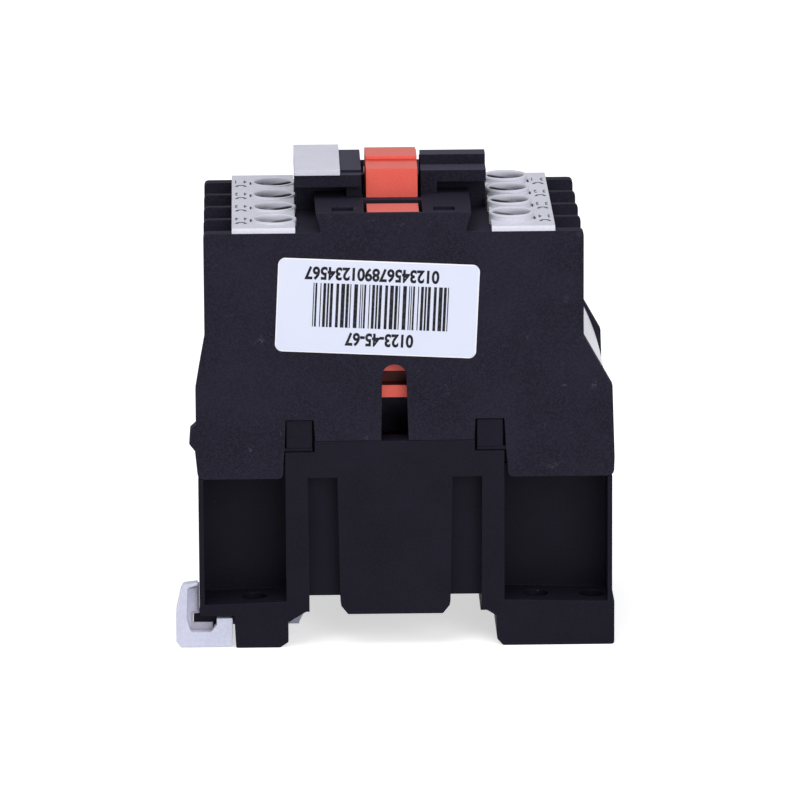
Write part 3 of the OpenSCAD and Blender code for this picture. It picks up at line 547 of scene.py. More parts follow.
# Written darker than bare steel: painted shade for the deep slot it shows through.
laminated = metal("laminated_core_steel", (52, 52, 64), (34, 33, 38), 0.42, ("Y", 0.5), 0.8,
                  (1, 0.1, 1))
copper = metal("enamelled_copper_wire", (196, 112, 66), (150, 78, 48), 0.3, ("Z", 0.32), 1.0)
spring_wire = metal("drawn_spring_wire", (160, 162, 166), (112, 112, 116), 0.3)
print("metals:", [m.name for m in (zinc, laminated, copper, spring_wire)])

# %% Brass strips with silver tips
BRASS, BRASS_TARNISH, SILVER = (212, 178, 106), (168, 128, 70), (214, 214, 218)
STRIP = 1.2
TIP_TOP = 2.3
TIP_CLEAR = 0.01
TIP_OUT = 11.6


def brass_with_tips(name, tip_low, tip_high):
    """Brass strip; between two heights and within TIP_OUT of the carrier's axis it is silver."""
    material = metal(name, BRASS, BRASS_TARNISH, 0.3, stretch=(0.15, 1, 1))
    parts = xyz(millimetres(material.node_tree))
    above = calc("GREATER_THAN", parts[2], tip_low)
    below = calc("LESS_THAN", parts[2], tip_high)
    inside = calc("LESS_THAN", calc("ABSOLUTE", parts[0]), TIP_OUT)
    lay_over(material, product(above, below, inside), SILVER)
    return material


strip_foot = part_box("fixed_contact_1")[0].z / MM
bridge_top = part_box("moving_bridge_1")[1].z / MM
fixed_brass = brass_with_tips("fixed_contact_brass", strip_foot + STRIP + TIP_CLEAR,
                              strip_foot + TIP_TOP)
bridge_brass = brass_with_tips("moving_bridge_brass", 0.0, bridge_top - STRIP - TIP_CLEAR)
plain_brass = metal("coil_terminal_brass", BRASS, BRASS_TARNISH, 0.3, stretch=(1, 1, 0.15))
print("tips start at height", round(strip_foot + STRIP, 2))

# %% [markdown]
# ## Dress the CAD nodes
#
# A CAD node keeps its mesh and place; only the material in its slots changes. The table goes by
# the start of the name, because repeated pieces are numbered.

# %% Materials of the CAD nodes
FINISHES = (
    (upper_black, "upper_housing side_wall end_wall aux_block contact_block pole_rib"),
    (base_black, "base_housing"),
    (carrier_orange, "contact_carrier"),
    (plate_white, "marking_plate"),
    (end_white, "end_plate"),
    (label_grey, "label_plate"),
    (clip_natural, "rail_clip"),
    (bobbin_cream, "coil_bobbin"),
    (buffer_rubber, "core_buffer"),
    (laminated, "fixed_core moving_core"),
    (zinc, "core_key coil_screw terminal_screw"),
    (copper, "shading_rings coil_winding"),
    (plain_brass, "coil_terminal"),
    (fixed_brass, "fixed_contact"),
    (bridge_brass, "moving_bridge"),
    (spring_wire, "return_springs contact_spring clip_spring"),
)
FINISH_OF = {start: finish for finish, starts in FINISHES for start in starts.split()}


def dress(piece, material):
    """Puts one material in every slot of a piece, and makes the slot if it has none."""
    if not piece.material_slots:
        piece.data.materials.append(material)
    for slot in piece.material_slots:
        slot.material = material


for name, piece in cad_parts.items():
    dress(piece, next(FINISH_OF[start] for start in FINISH_OF if name.startswith(start)))
print("dressed", len(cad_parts), "nodes")

# %% [markdown]
# ## Making a mesh from a grid
#
# A surface is a function of two parameters. Worked out for whole arrays at once, it gives a grid
# of places; the faces join each place to its neighbours. One function turns such a grid into an
# object that rides on a CAD body.

# %% Grid to piece
def grid_faces(rows, columns, round_columns=False):
    """Four-cornered faces of a grid; round columns join their end to their start."""
    r = np.arange(rows - 1)
    c = np.arange(columns if round_columns else columns - 1)
    r, c = np.meshgrid(r, c, indexing="ij")
    r2, c2 = r + 1, (c + 1) % columns
    corners = [r * columns + c, r * columns + c2, r2 * columns + c2, r2 * columns + c]
    return np.stack(corners, axis=-1).reshape(-1, 4)


def make_piece(name, places, faces, material, body, smooth=True):
    """A mesh object at the origin from places and faces, riding on a body."""
    mesh = bpy.data.meshes.new(name)
    corners = np.asarray(places, float).reshape(-1, 3).tolist()
    mesh.from_pydata(corners, [], [list(map(int, f)) for f in faces])
    mesh.validate()
    mesh.polygons.foreach_set("use_smooth", np.full(len(mesh.polygons), smooth))
    mesh.materials.append(material)
    piece = add_object(name, mesh)
    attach(piece, body)
    return piece


def write_uv(piece, name, u, v):
    """A UV map from one u and one v per vertex, copied to every face corner on that vertex."""
    corner = np.empty(len(piece.data.loops), int)
    piece.data.loops.foreach_get("vertex_index", corner)
    uv = np.stack([u.ravel()[corner], v.ravel()[corner]], axis=1)
    piece.data.uv_layers.new(name=name).data.foreach_set("uv", uv.ravel())


def vertices_of(mesh):
    """A mesh's vertices as an array of places."""
    co = np.empty(len(mesh.vertices) * 3)
    mesh.vertices.foreach_get("co", co)
    return co.reshape(-1, 3)


print("grid tools ready")

# %% [markdown]
# ## Springs
#
# A helical spring is a round wire carried along a helix: the parameter along the wire sets the
# angle and the height, the parameter round it sets the wire's own circle. Real springs are closed
# at each end, so the height stands still there for three quarters of a turn.

# %% Spring surface
TURN_STEPS, WIRE_STEPS = 28, 12
CLOSED_TURNS = 0.75


def spring_places(middle, axis, radius, length, turns, wire):
    """Grid of a spring: the wire's circle, carried along (radius cos a, radius sin a, rise)."""
    t = np.linspace(0, 1, int(turns * TURN_STEPS) + 1)
    closed = CLOSED_TURNS / turns
    rise = np.clip((t - closed) / (1 - 2 * closed), 0, 1)
    rise = wire / 2 + (length - wire) * rise
    a = 2 * np.pi * turns * t
    s = np.linspace(0, 2 * np.pi, WIRE_STEPS, endpoint=False)
    a, s2 = np.meshgrid(a, s, indexing="ij")
    out = radius + wire / 2 * np.cos(s2)
    up = rise[:, None] + wire / 2 * np.sin(s2)
    local = np.stack([out * np.cos(a), out * np.sin(a), up], axis=-1)
    if axis == "X":
        local = np.stack([local[..., 2], local[..., 1], -local[..., 0]], axis=-1)
    return (local + np.array(middle)) * MM


def spring_piece(name, node_name, starts, axis, radius, length, turns, wire, body):
    """One piece with a spring at each start, which stands for the CAD node."""
    places, faces, count = [], [], 0
    for start in starts:
        grid = spring_places(start, axis, radius, length, turns, wire)
        rows, columns = grid.shape[:2]
        quads = grid_faces(rows, columns, round_columns=True)[:, ::-1] + count
        places.append(grid.reshape(-1, 3))
        faces.extend(quads.tolist())
        faces.append(list(range(count, count + columns)))
        faces.append(list(range(count + (rows - 1) * columns, count + rows * columns))[::-1])
        count += rows * columns
    piece = make_piece(name, np.concatenate(places), faces, spring_wire, body)
    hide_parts(node_name)
    return piece


def squash_to(piece):
    """Gives the piece a mesh of its own."""
    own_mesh(piece)


print("spring tools ready")

# %% The relay's seven springs, sizes in millimetres
RETURN_RADIUS, RETURN_TURNS, RETURN_WIRE = 2.9, 7, 0.6
CONTACT_RADIUS, CONTACT_TURNS, CONTACT_WIRE = 2.0, 5, 0.5
CLIP_RADIUS, CLIP_TURNS, CLIP_WIRE = 1.6, 7, 0.45

low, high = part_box("return_springs")
reach = RETURN_RADIUS + RETURN_WIRE / 2
corner = (high.x / MM - reach, high.y / MM - reach)
pair = [(corner[0], corner[1], low.z / MM), (-corner[0], -corner[1], low.z / MM)]
return_springs = spring_piece("return_spring_pair", "return_springs", pair, "Z", RETURN_RADIUS,
                              (high.z - low.z) / MM, RETURN_TURNS, RETURN_WIRE, "housing")
squash_to(return_springs)

for i in range(1, 5):
    low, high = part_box(f"contact_spring_{i}")
    start = (0, (low.y + high.y) / 2 / MM, low.z / MM)
    spring = spring_piece(f"contact_spring_wire_{i}", f"contact_spring_{i}", [start], "Z",
                          CONTACT_RADIUS, (high.z - low.z) / MM, CONTACT_TURNS, CONTACT_WIRE,
                          "carrier")
    squash_to(spring)

low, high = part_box("clip_spring")
start = (low.x / MM, 0, (low.z + high.z) / 2 / MM)
clip_spring = spring_piece("clip_spring_wire", "clip_spring", [start], "X", CLIP_RADIUS,
                           (high.x - low.x) / MM, CLIP_TURNS, CLIP_WIRE, "housing")
squash_to(clip_spring)

# %% [markdown]
# ## The paper label on the side
#
# The relay carries a white paper label, stuck on a degree or two askew. Its four corners are
# image points, sent on to the wall of the upper moulding. Its outline is a rectangle with round
# corners, and the sheet is a polar grid: one parameter runs from the middle to the rim, the other
# round the rim. Near the rim it bends down to the wall, so that the edge has a little thickness.

# %% Where the label lies
LABEL_PROUD = 0.09 * MM
LABEL_CORNERS = ("top_left", "top_right", "low_right", "low_left")

corners = [on_surface(POINTS["sticker_" + n], near_wall) for n in LABEL_CORNERS]
label_middle = sum(corners, Vector()) / 4
label_across = ((corners[1] - corners[0]) + (corners[2] - corners[3])).normalized()
label_up = ((corners[0] - corners[3]) + (corners[1] - corners[2])).normalized()
label_up = (label_up - label_across * label_up.dot(label_across)).normalized()
label_out = label_across.cross(label_up)
label_w = ((corners[1] - corners[0]).length + (corners[2] - corners[3]).length) / 2
label_h = ((corners[0] - corners[3]).length + (corners[1] - corners[2]).length) / 2


def on_label(u, v, proud):
    """Places u metres across and v metres up from the label's middle, proud metres off the wall."""
    u, v, proud = np.broadcast_arrays(u, v, proud)
    return (np.array(label_middle) + u[..., None] * np.array(label_across)
            + v[..., None] * np.array(label_up) + proud[..., None] * np.array(label_out))


def label_spot(name):
    """Where an image point falls on the label, in its own across and up directions."""
    place = on_surface(POINTS[name], near_wall)
    return (place - label_middle).dot(label_across), (place - label_middle).dot(label_up)


print("label", round(label_w / MM, 2), "by", round(label_h / MM, 2), "mm")

# %% Label sheet
CORNER_RADIUS = 1.3 * MM
CORNER_STEPS = 10
FLAT_RINGS = 8


def round_rectangle(width, height, radius, count):
    """Points along a rectangle with round corners: each quarter circle, shifted to its corner."""
    t = np.linspace(0, 2 * np.pi, 4 * count, endpoint=False) + np.pi / (4 * count)
    quarter = np.floor(t / (np.pi / 2))
    mid = quarter * np.pi / 2 + np.pi / 4
    x = np.sign(np.cos(mid)) * (width / 2 - radius) + radius * np.cos(t)
    y = np.sign(np.sin(mid)) * (height / 2 - radius) + radius * np.sin(t)
    return x, y


def label_sheet():
    """Polar grid: rim points times a share, with the last three rings bent down to the wall."""
    share = np.concatenate([np.linspace(0, 0.9, FLAT_RINGS), [0.985, 0.996, 1.0, 1.0]])
    lift = np.concatenate([np.ones(FLAT_RINGS + 1), [0.93, 0.7, 0.0]]) * LABEL_PROUD
    x, y = round_rectangle(label_w, label_h, CORNER_RADIUS, CORNER_STEPS)
    x, y = share[:, None] * x, share[:, None] * y
    return x, y, on_label(x, y, lift[:, None])


print("label sheet ready")

# %% Label paper
RIM_WIDTH = 0.24

# Cool white, a very fine fibre, and a painted highlight along the rim, where the UV "rim" is small.
paper, tree, shader = new_finish("coated_label_paper")
place = millimetres(tree)
fibre = noise(place, 0.25, 3.0)
cloud = product(remap(noise(place, 12.0), 0.35, 0.65), 0.5)
base = blend(cloud, (223, 228, 249), (229, 232, 248))
inside = xyz(node(tree, "UVMap", uv_map="rim").outputs[0])[0]
rim = remap(inside, RIM_WIDTH, 0.6 * RIM_WIDTH)
fill(shader, {
    "Base Color": blend(rim, base, (250, 251, 255)),
    "Roughness": remap(fibre, 0.3, 0.7, 0.42, 0.55),
    "Specular IOR Level": 0.35,
    "Normal": raised(fibre, 0.004)})
sheet_x, sheet_y, sheet_grid = label_sheet()
sheet_faces = grid_faces(*sheet_grid.shape[:2], round_columns=True)[:, ::-1]
label = make_piece("side_label", sheet_grid, sheet_faces, paper, "housing")
# The UV's u is the distance in millimetres from the cut edge: min(w/2 - |x|, h/2 - |y|).
from_edge = np.minimum(label_w / 2 - np.abs(sheet_x), label_h / 2 - np.abs(sheet_y)) / MM
write_uv(label, "rim", from_edge, 0 * from_edge)
print("label sheet has", len(label.data.polygons), "faces")

# %% [markdown]
# ## Print on the label
#
# The print is a row of upright bars between two rows of figures, all upside down to the viewer.
# What it says is left generic: the bars follow a plain counting rule and the figures are
# placeholders. Ink is a set of flat faces just proud of the paper, so that it stays sharp at any
# distance.

# %% Ink
def ink_finish(name, colour, patchy):
    """Flat dark ink with paler patches, as thermal print often has."""
    material, tree, shader = new_finish(name)
    fade = remap(noise(millimetres(tree), 0.5, 2.0), 0.45, 0.75, 0.0, patchy)
    fill(shader, {
        "Base Color": blend(fade, colour, (110, 110, 124)),
        "Roughness": remap(fade, 0.0, 1.0, 0.55, 0.75),
        "Specular IOR Level": 0.2})
    return material


label_ink = ink_finish("label_ink", (13, 12, 19), 0.25)
mark_ink = ink_finish("terminal_mark_ink", (84, 82, 96), 0.55)
print(label_ink.name, mark_ink.name)

# %% Bars
INK_PROUD = LABEL_PROUD + 0.03 * MM
BAR_COUNT = 34
BAR_FILL = 0.92
BAR_WIDTH = 0.672 * label_w
BAR_HEIGHT = 0.468 * label_h


def bar_row(middle, width, height, count):
    """Bars of one to four modules, gaps of one to three, by a counting rule; four corners each."""
    i = np.arange(count)
    bar = 1 + (i * i + i // 3) % 4
    gap = 1 + (i * 5 + i // 4) % 3
    start = np.concatenate([[0], np.cumsum(bar + gap)[:-1]])
    module = width / (start[-1] + bar[-1])
    left = middle[0] - width / 2 + start * module
    right = left + bar * module * BAR_FILL
    low, high = middle[1] - height / 2 + 0 * left, middle[1] + height / 2 + 0 * left
    u = np.stack([left, right, right, left], axis=1)
    v = np.stack([low, low, high, high], axis=1)
    return on_label(u, v, INK_PROUD)


bars = bar_row(label_spot("bars"), BAR_WIDTH, BAR_HEIGHT, BAR_COUNT)
make_piece("label_bars", bars, np.arange(BAR_COUNT * 4).reshape(-1, 4), label_ink, "housing",
           smooth=False)
print("bars:", BAR_COUNT)

# %% Figures
LONG_NUMBER = "012345678901234567"
SHORT_NUMBER = "0123-45-67"
LONG_WIDTH, SHORT_WIDTH = 0.668 * label_w, 0.340 * label_w
FIGURE_HEIGHT = 0.147 * label_h
LABEL_BOLD, MARK_BOLD = 0.035, 0.02
CURVE_STEPS = 4


def figures(name, text, width, height, place_of, material, bold):
    """Figures in the built-in font, made a mesh, fitted to a size, then placed by place_of."""
    curve = bpy.data.curves.new(name, "FONT")
    curve.body = text
    curve.offset = bold
    curve.resolution_u = CURVE_STEPS
    holder = add_object(name + "_curve", curve)
    bpy.context.view_layer.update()
    graph = bpy.context.evaluated_depsgraph_get()
    flat = bpy.data.meshes.new_from_object(holder.evaluated_get(graph))
    co = vertices_of(flat)
    low, high = co.min(0), co.max(0)
    fitted = (co - (low + high) / 2)[:, :2] * np.array([width, height]) / (high - low)[:2]
    places = place_of(fitted[:, 0], fitted[:, 1])
    faces = [list(p.vertices) for p in flat.polygons]
    bpy.data.objects.remove(holder)
    bpy.data.curves.remove(curve)
    bpy.data.meshes.remove(flat)
    return make_piece(name, places, faces, material, "housing", smooth=False)


def upside_down_at(spot):
    """Turns flat x and y by half a turn round a spot of the label."""
    return lambda x, y: on_label(spot[0] - x, spot[1] - y, INK_PROUD)


for name, text, width in (("long_number", LONG_NUMBER, LONG_WIDTH),
                          ("short_number", SHORT_NUMBER, SHORT_WIDTH)):
    figures("label_" + name, text, width, FIGURE_HEIGHT, upside_down_at(label_spot(name)),
            label_ink, LABEL_BOLD)
print("label printed")

# %% [markdown]
# ## Terminal marks on the white plates
#
# Each terminal has a small mark outside its funnel: two figures and, nearer the viewer, the arch
# of a contact. Here they are plain placeholders, upside down to the viewer. One image point on
# each plate sets how far out the row of marks lies; the pole spacing comes from the screws.

# %% Marks
PLATE_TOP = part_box("marking_plate_left")[1].z
MARK_LIFT = 0.02 * MM
MARK_WIDTH = 2.1 * MM
MARK_HEIGHT = 2.3 * MM
FIGURES_BACK = 0.9 * MM
ARCH_FORWARD = 2.4 * MM
ARCH_SIZE = 1.75 * MM
STROKE_WIDTH = 0.27
STROKES = [(-0.5, 0.4, -0.25, -0.25), (-0.25, -0.25, 0.25, -0.25), (0.25, -0.25, 0.5, 0.4)]


def contact_arch(size):
    """Three strokes, each a flat face: from a to b, half a width to either side of the line."""
    a = np.array(STROKES)[:, :2] * size
    b = np.array(STROKES)[:, 2:] * size
    along = (b - a) / np.linalg.norm(b - a, axis=1, keepdims=True)
    side = np.stack([-along[:, 1], along[:, 0]], axis=1) * (STROKE_WIDTH * size) / 2
    quad = np.stack([a - side, b - side, b + side, a + side], axis=1)
    return quad[..., 0], quad[..., 1]


def mark_at(x0, y0):
    """Flat x runs towards -X and flat y towards -Y, on top of the plate."""
    return lambda x, y: np.stack([x0 - x, y0 - y, 0 * x + (PLATE_TOP + MARK_LIFT)], axis=-1)


for side, last in (("left", 4), ("right", 3)):
    row_x = on_surface(POINTS["terminal_mark_" + side], tree_of("marking_plate_" + side)).x
    for pole in range(1, 5):
        low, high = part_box(f"terminal_screw_{2 * pole}")
        middle_y = (low.y + high.y) / 2
        figures(f"mark_{side}_{pole}", f"{last}   {5 - pole}", MARK_WIDTH, MARK_HEIGHT,
                mark_at(row_x, middle_y + FIGURES_BACK), mark_ink, MARK_BOLD)
        arch = mark_at(row_x, middle_y - ARCH_FORWARD)(*contact_arch(ARCH_SIZE))
        make_piece(f"mark_sign_{side}_{pole}", arch, np.arange(12).reshape(-1, 4), mark_ink,
                   "housing", smooth=False)
print("marks made")

# %% [markdown]
# ## Funnel lips
#
# Each funnel of the white plates ends in a moulded lip. It is a lathe shape: a profile of radius
# and height, carried round the screw's axis. Inside, the lining covers the funnel's wall and
# carries painted shade. The photograph shows the wall grey at its outer side and black in a
# crescent at the plateau side; soft light alone doesn't give that, so the lining paints that shade
# by angle and depth. At the outer end of each lip a thin notch in the plate lies in shade, and that
# shade is painted as a flat dark block.

# %% Painted shade of the linings
LINING_WHITE, LINING_SHADE_GREY, LINING_SHADE_BLACK = (214, 214, 227), (88, 86, 102), (14, 12, 20)
LINING_PALE = (236, 236, 244)
CRESCENT_DEPTH, CRESCENT_POWER = 0.85, 2.5
NEAR_POLE, NEXT_POLE = -17.0, -9.0

# Painted shade: it darkens with depth, grey towards the outer side. UV u is the turn from the
# plateau side and v the depth in mm. The black crescent is where v passes
# CRESCENT_DEPTH * |sin(turn)| ** CRESCENT_POWER. Both fade to the near pole, which gets more light
# from the front.
shade_lining, tree, shader = new_finish("funnel_painted_shade")
place = millimetres(tree)
grain = noise(place, 0.4, 3.0)
where = xyz(node(tree, "UVMap", uv_map="shade_lining").outputs[0])
angle = product(where[0], 2 * np.pi)
depth = where[1]
inward = calc("COSINE", angle)
aside = calc("ABSOLUTE", calc("SINE", angle))
limit = product(calc("POWER", aside, CRESCENT_POWER), CRESCENT_DEPTH)
pole = xyz(place)[1]
shade = product(remap(inward, 0.7, -0.9, 0.2, 1.0), remap(depth, 0.0, 0.7),
                remap(pole, NEAR_POLE, NEXT_POLE, 0.45, 1.0))
base = blend(shade, LINING_WHITE, LINING_SHADE_GREY)
base = blend(remap(grain, 0.45, 0.7, 0.0, 0.12), base, LINING_PALE)
crescent_shade = product(remap(calc("SUBTRACT", depth, limit), -0.12, 0.12),
               remap(depth, 0.03, 0.10), remap(inward, -0.3, 0.1),
               remap(pole, NEAR_POLE, NEXT_POLE, 0.45, 0.97))
fill(shader, {
    "Base Color": blend(crescent_shade, base, LINING_SHADE_BLACK),
    "Roughness": 0.5,
    "Specular IOR Level": 0.3,
    "Normal": raised(grain, 0.006)})
print(shade_lining.name)

# %% Lips and linings, in millimetres
FUNNEL_LOW, FUNNEL_MOUTH, FUNNEL_RIM = 2.7, 3.35, 3.9
LIP_RISE = 0.3
LINING_GAP = 0.02
LINING_STEPS, LIP_STEPS = 9, 57


def screws_of(side):
    """X and Y of the four clamp screws on one side, from the far pole to the near one."""
    odd = 1 if side < 0 else 2
    boxes = [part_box(f"terminal_screw_{odd + 2 * i}") for i in range(4)]
    found = [((low.x + high.x) / 2 / MM, (low.y + high.y) / 2 / MM) for low, high in boxes]
    return sorted(found, key=lambda c: -c[1])


def funnel_lips(side, name):
    """Four lips with their linings: profile (r, z) carried round as (r cos a, r sin a, z)."""
    low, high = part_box(f"marking_plate_{name}")
    low_z, high_z = low.z / MM, high.z / MM
    down = np.linspace(0, 1, LINING_STEPS)
    inner_r = FUNNEL_MOUTH - LINING_GAP + (FUNNEL_LOW - FUNNEL_MOUTH) * down
    inner_z = high_z + (low_z - high_z) * down
    lip_r = np.array([FUNNEL_RIM + 0.04, FUNNEL_RIM + 0.02, FUNNEL_RIM - 0.1, FUNNEL_RIM - 0.3,
                      FUNNEL_MOUTH + 0.02])
    lip_z = high_z + LIP_RISE * np.array([-0.5, 0.7, 1.0, 1.0, 0.6])
    r = np.concatenate([lip_r, inner_r])[:, None]
    z = np.concatenate([lip_z, inner_z])[:, None]
    depth = np.concatenate([0 * lip_r, high_z - inner_z])[:, None]
    a = np.linspace(0, 2 * np.pi, LIP_STEPS)
    ring = np.stack([r * np.cos(a), r * np.sin(a), z + 0 * a], axis=-1)
    centres = np.array([(x, y, 0) for x, y in screws_of(side)])
    places = (centres[:, None, None] + ring) * MM
    first = np.arange(len(centres))[:, None, None] * ring[..., 0].size
    faces = (first + grid_faces(*ring.shape[:2])[:, ::-1]).reshape(-1, 4)
    piece = make_piece(f"funnel_lips_{name}", places, faces, shade_lining, "housing")
    turn = a / (2 * np.pi) + (0.5 if side > 0 else 0.0)
    write_uv(piece, "shade_lining", *(np.broadcast_to(w, places.shape[:-1]) for w in (turn, depth)))
    return piece


print("lips rise", LIP_RISE, "mm over the plates")

# %% Lips, and painted shade of the notches beside them
NOTCH_OUT, NOTCH_FORWARD, NOTCH_LIFT = 4.1, 0.5, 0.01
NOTCH_SIZE = (0.3, 2.0, 0.04)


def flat_blocks(name, centres):
    """One piece of equal blocks: a cube's corners, scaled by NOTCH_SIZE, moved to each centre."""
    cube = np.array([[x, y, z] for x in (-0.5, 0.5) for y in (-0.5, 0.5) for z in (-0.5, 0.5)])
    sides = np.array([[0, 1, 3, 2], [4, 6, 7, 5], [0, 4, 5, 1], [2, 3, 7, 6], [0, 2, 6, 4],
                      [1, 5, 7, 3]])
    places = (np.array(centres)[:, None, :] + cube * np.array(NOTCH_SIZE)) * MM
    faces = (np.arange(len(centres))[:, None, None] * 8 + sides).reshape(-1, 4)
    make_piece(name, places, faces, notch_painted_shade, "housing", smooth=False)


# The dark blocks are painted shade in a thin notch at the outer end of each lip.
notch_painted_shade = moulded("notch_painted_shade", (62, 60, 74), (90, 88, 104), 0.3, 0.01, 0.7, 0.1, 0.5)
for side, name in ((-1, "left"), (1, "right")):
    lips = funnel_lips(side, name)
    notches = [(x + side * NOTCH_OUT, y - NOTCH_FORWARD, PLATE_TOP / MM + NOTCH_LIFT)
               for x, y in screws_of(side)]
    flat_blocks(f"plate_notch_shade_{name}", notches)
    print(lips.name, len(lips.data.polygons), "faces,", len(notches), "marks beside them")

# %% [markdown]
# ## Inner web of the rail clip
#
# Behind the clip's ear the photograph shows a grey plane inside the J, where CAD leaves a gap.
# What it is can't be made out; here it is a thin opaque web that closes the space up to the base.
# It is a slab: the outline of the space, given twice, a little apart along Y, and joined round
# its edge.

# %% Clip web
WEB_OUTLINE = [(-37.4, 2.2), (-32.4, 2.2), (-32.4, 4.25), (-35.85, 4.25), (-35.85, 5.85),
               (-34.75, 5.95), (-34.75, 11.6), (-37.4, 10.6)]
WEB_NEAR, WEB_FAR = -20.35, -20.1


def slab(outline, near, far):
    """Corners (x, near, z) then (x, far, z) of an outline; two end faces and a band between."""
    x, z = np.array(outline).T
    count = len(x)
    places = np.concatenate([np.stack([x, 0 * x + y, z], axis=1) for y in (near, far)]) * MM
    i = np.arange(count)
    j = (i + 1) % count
    band = np.stack([i, i + count, j + count, j], axis=1)
    return places, [list(i), list((i + count)[::-1]), *band.tolist()]


web_grey = moulded("clip_web_grey", (176, 172, 186), (196, 194, 208), 0.6, 0.006, 0.4, 0.3,
                   dust=0.1)
web_places, web_faces = slab(WEB_OUTLINE, WEB_NEAR, WEB_FAR)
make_piece("clip_inner_web", web_places, web_faces, web_grey, "clip", smooth=False)
print("clip web of", len(web_faces), "faces")

# %% [markdown]
# ## Floor, world and lamps
#
# The photograph was cut out on white. A pale floor keeps the soft shadow that grounds the relay,
# and shows white where only the camera looks at it. Two broad lamps over an even pale world light
# it plainly: one above gives the tops their light, and a stronger one in front lights the near
# side. The world is white to the camera and dimmer as a light.

# %% Floor and world
FLOOR_HALF = 6.0
FLOOR_GLOW = 0.6
WORLD_LIGHT = 0.42


def pale(tree, shader_output, extra):
    """Adds light of its own only for camera, mirror and glass rays, so that white stays white."""
    path = node(tree, "LightPath").outputs
    seen = calc("MAXIMUM", path["Is Camera Ray"], path["Is Glossy Ray"])
    seen = calc("MAXIMUM", seen, path["Is Transmission Ray"])
    strength = product(seen, extra)
    glow = node(tree, "Emission", {"Color": (1, 1, 1, 1), "Strength": strength})
    return node(tree, "AddShader", {0: shader_output, 1: glow.outputs[0]}).outputs[0]


floor_material, tree, shader = new_finish("pale_floor")
fill(shader, {"Base Color": (0.86, 0.86, 0.87, 1), "Roughness": 0.9, "Specular IOR Level": 0.1})
output = next(n for n in tree.nodes if n.type == "OUTPUT_MATERIAL")
fill(output, {"Surface": pale(tree, shader.outputs["BSDF"], FLOOR_GLOW)})
floor_mesh = bpy.data.meshes.new("floor")
floor_mesh.from_pydata([(x * FLOOR_HALF, y * FLOOR_HALF, 0)
                        for x, y in ((-1, -1), (1, -1), (1, 1), (-1, 1))], [], [(0, 1, 2, 3)])
floor_mesh.materials.append(floor_material)
floor = add_object("floor", floor_mesh)
floor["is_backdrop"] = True

world = bpy.data.worlds.new("studio")
world.use_nodes = True
tree = world.node_tree
seen = node(tree, "LightPath").outputs["Is Camera Ray"]
fill(tree.nodes["Background"], {
    "Color": (0.97, 0.98, 1.0, 1),
    "Strength": remap(seen, 0.0, 1.0, WORLD_LIGHT, 1.0)})
bpy.context.scene.world = world
bpy.context.scene.view_settings.view_transform = "Standard"
print("floor and world made")

# %% Lamps: place and side in metres, power in watts
LAMP_AIM = (0, 0, 0.045)
LAMP_COLOUR = (1.0, 0.99, 0.98)
LAMPS = {"top_lamp": ((-0.25, -0.35, 1.0), 0.8, 5.0), "front_lamp": ((0.5, -1.3, 0.6), 0.9, 8.5)}


def soft_lamp(name, place, size, power):
    """Square lamp of a given side that looks from its place to the relay's middle."""
    lamp = bpy.data.lights.new(name, "AREA")
    lamp.size = size
    lamp.energy = power
    lamp.color = LAMP_COLOUR
    turn = (Vector(LAMP_AIM) - Vector(place)).to_track_quat("-Z", "Y")
    add_object(name, lamp).matrix_world = Matrix.Translation(place) @ turn.to_matrix().to_4x4()


for name, values in LAMPS.items():
    soft_lamp(name, *values)
print("lamps:", list(LAMPS))

# %% [markdown]
# ## Measure and finish
#
# Last, each image point is compared with where its corner or edge shows. The wall's corners and
# the plates' are measured where their rounded edges would meet.

# %% Where things show
WALL_ROUNDING = 0.9 * MM
DECK_START = 30 * MM
SAME_PLANE = 0.01 * MM
LABEL_PLATE_EDGE, MARKING_PLATE_T = 1 * MM, 0.9 * MM


def shown_places():
    """Every vertex of every shown piece, as placed, in one array."""
    graph = bpy.context.evaluated_depsgraph_get()
    found = []
    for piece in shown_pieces():
        co = vertices_of(piece.evaluated_get(graph).to_mesh())
        matrix = piece.matrix_world
        found.append(co @ np.array(matrix.to_3x3()).T + np.array(matrix.translation))
        piece.evaluated_get(graph).to_mesh_clear()
    return np.concatenate(found)


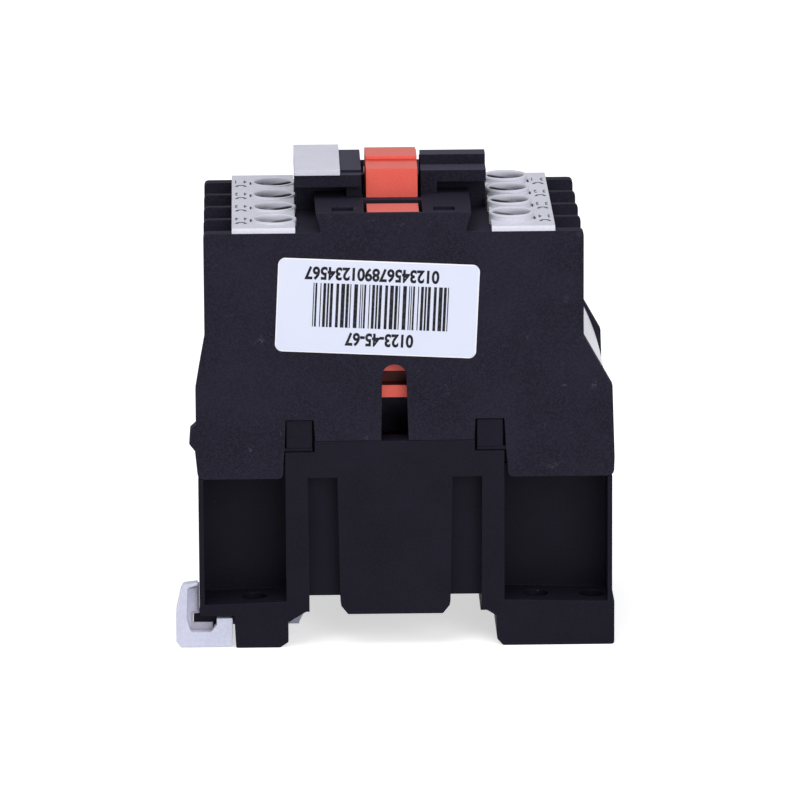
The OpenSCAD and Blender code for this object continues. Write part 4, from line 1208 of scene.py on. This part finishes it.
def middle_of(name):
    """Middle of a made piece's vertices."""
    co = vertices_of(bpy.data.objects[name].data)
    return (co.min(0) + co.max(0)) / 2


def near_wall_corner(sign):
    """Corner of the near wall at deck height: the flat's end, plus the corner's rounding."""
    co = vertices_of(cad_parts["side_wall_near"].data)
    wall = co[co[:, 1] < cad_low.y + SAME_PLANE]
    deck = wall[abs(wall[:, 0]) > DECK_START]
    deck = deck[deck[:, 2] > deck[:, 2].max() - SAME_PLANE]
    edge = deck[:, 0].max() if sign > 0 else deck[:, 0].min()
    return (edge + sign * WALL_ROUNDING, cad_low.y, deck[:, 2].max())


plate_low, plate_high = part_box("label_plate")
marking_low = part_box("marking_plate_left")[0]
outline = shows_at(shown_places())
mark_middle = {s: (middle_of(f"mark_{s}_1") + middle_of(f"mark_sign_{s}_1")) / 2
               for s in ("left", "right")}
sheet_corners = on_label(*round_rectangle(label_w, label_h, 0.0, 1), 0.0)
order = ("top_right", "top_left", "low_left", "low_right")
PLACES = {
    "wall_corner_left": near_wall_corner(-1),
    "wall_corner_right": near_wall_corner(1),
    "label_plate_near": (plate_low.x, plate_low.y, plate_high.z - LABEL_PLATE_EDGE),
    "label_plate_far": plate_high,
    "marking_near_left": (marking_low.x, marking_low.y, PLATE_TOP - MARKING_PLATE_T),
    "bars": middle_of("label_bars"),
    "long_number": middle_of("label_long_number"),
    "short_number": middle_of("label_short_number"),
    "terminal_mark_left": mark_middle["left"],
    "terminal_mark_right": mark_middle["right"],
    **{"sticker_" + n: c for n, c in zip(order, sheet_corners)},
}
SHOWN_AT = {
    "object_left": (outline[:, 0].min(), None),
    "object_right": (outline[:, 0].max(), None),
    "object_top": (None, outline[:, 1].min()),
    "object_bottom": (None, outline[:, 1].max()),
    **{name: shows_at(place)[0] for name, place in PLACES.items()},
}
print(len(SHOWN_AT), "things measured")

# %% Points
offsets = {}
for name, wanted in POINTS.items():
    pairs = zip(SHOWN_AT[name], wanted)
    offsets[name] = [None if w is None else round(float(s - w), 2) for s, w in pairs]
largest = max(abs(v) for pair in offsets.values() for v in pair if v is not None)
print("largest offset in pixels:", largest)
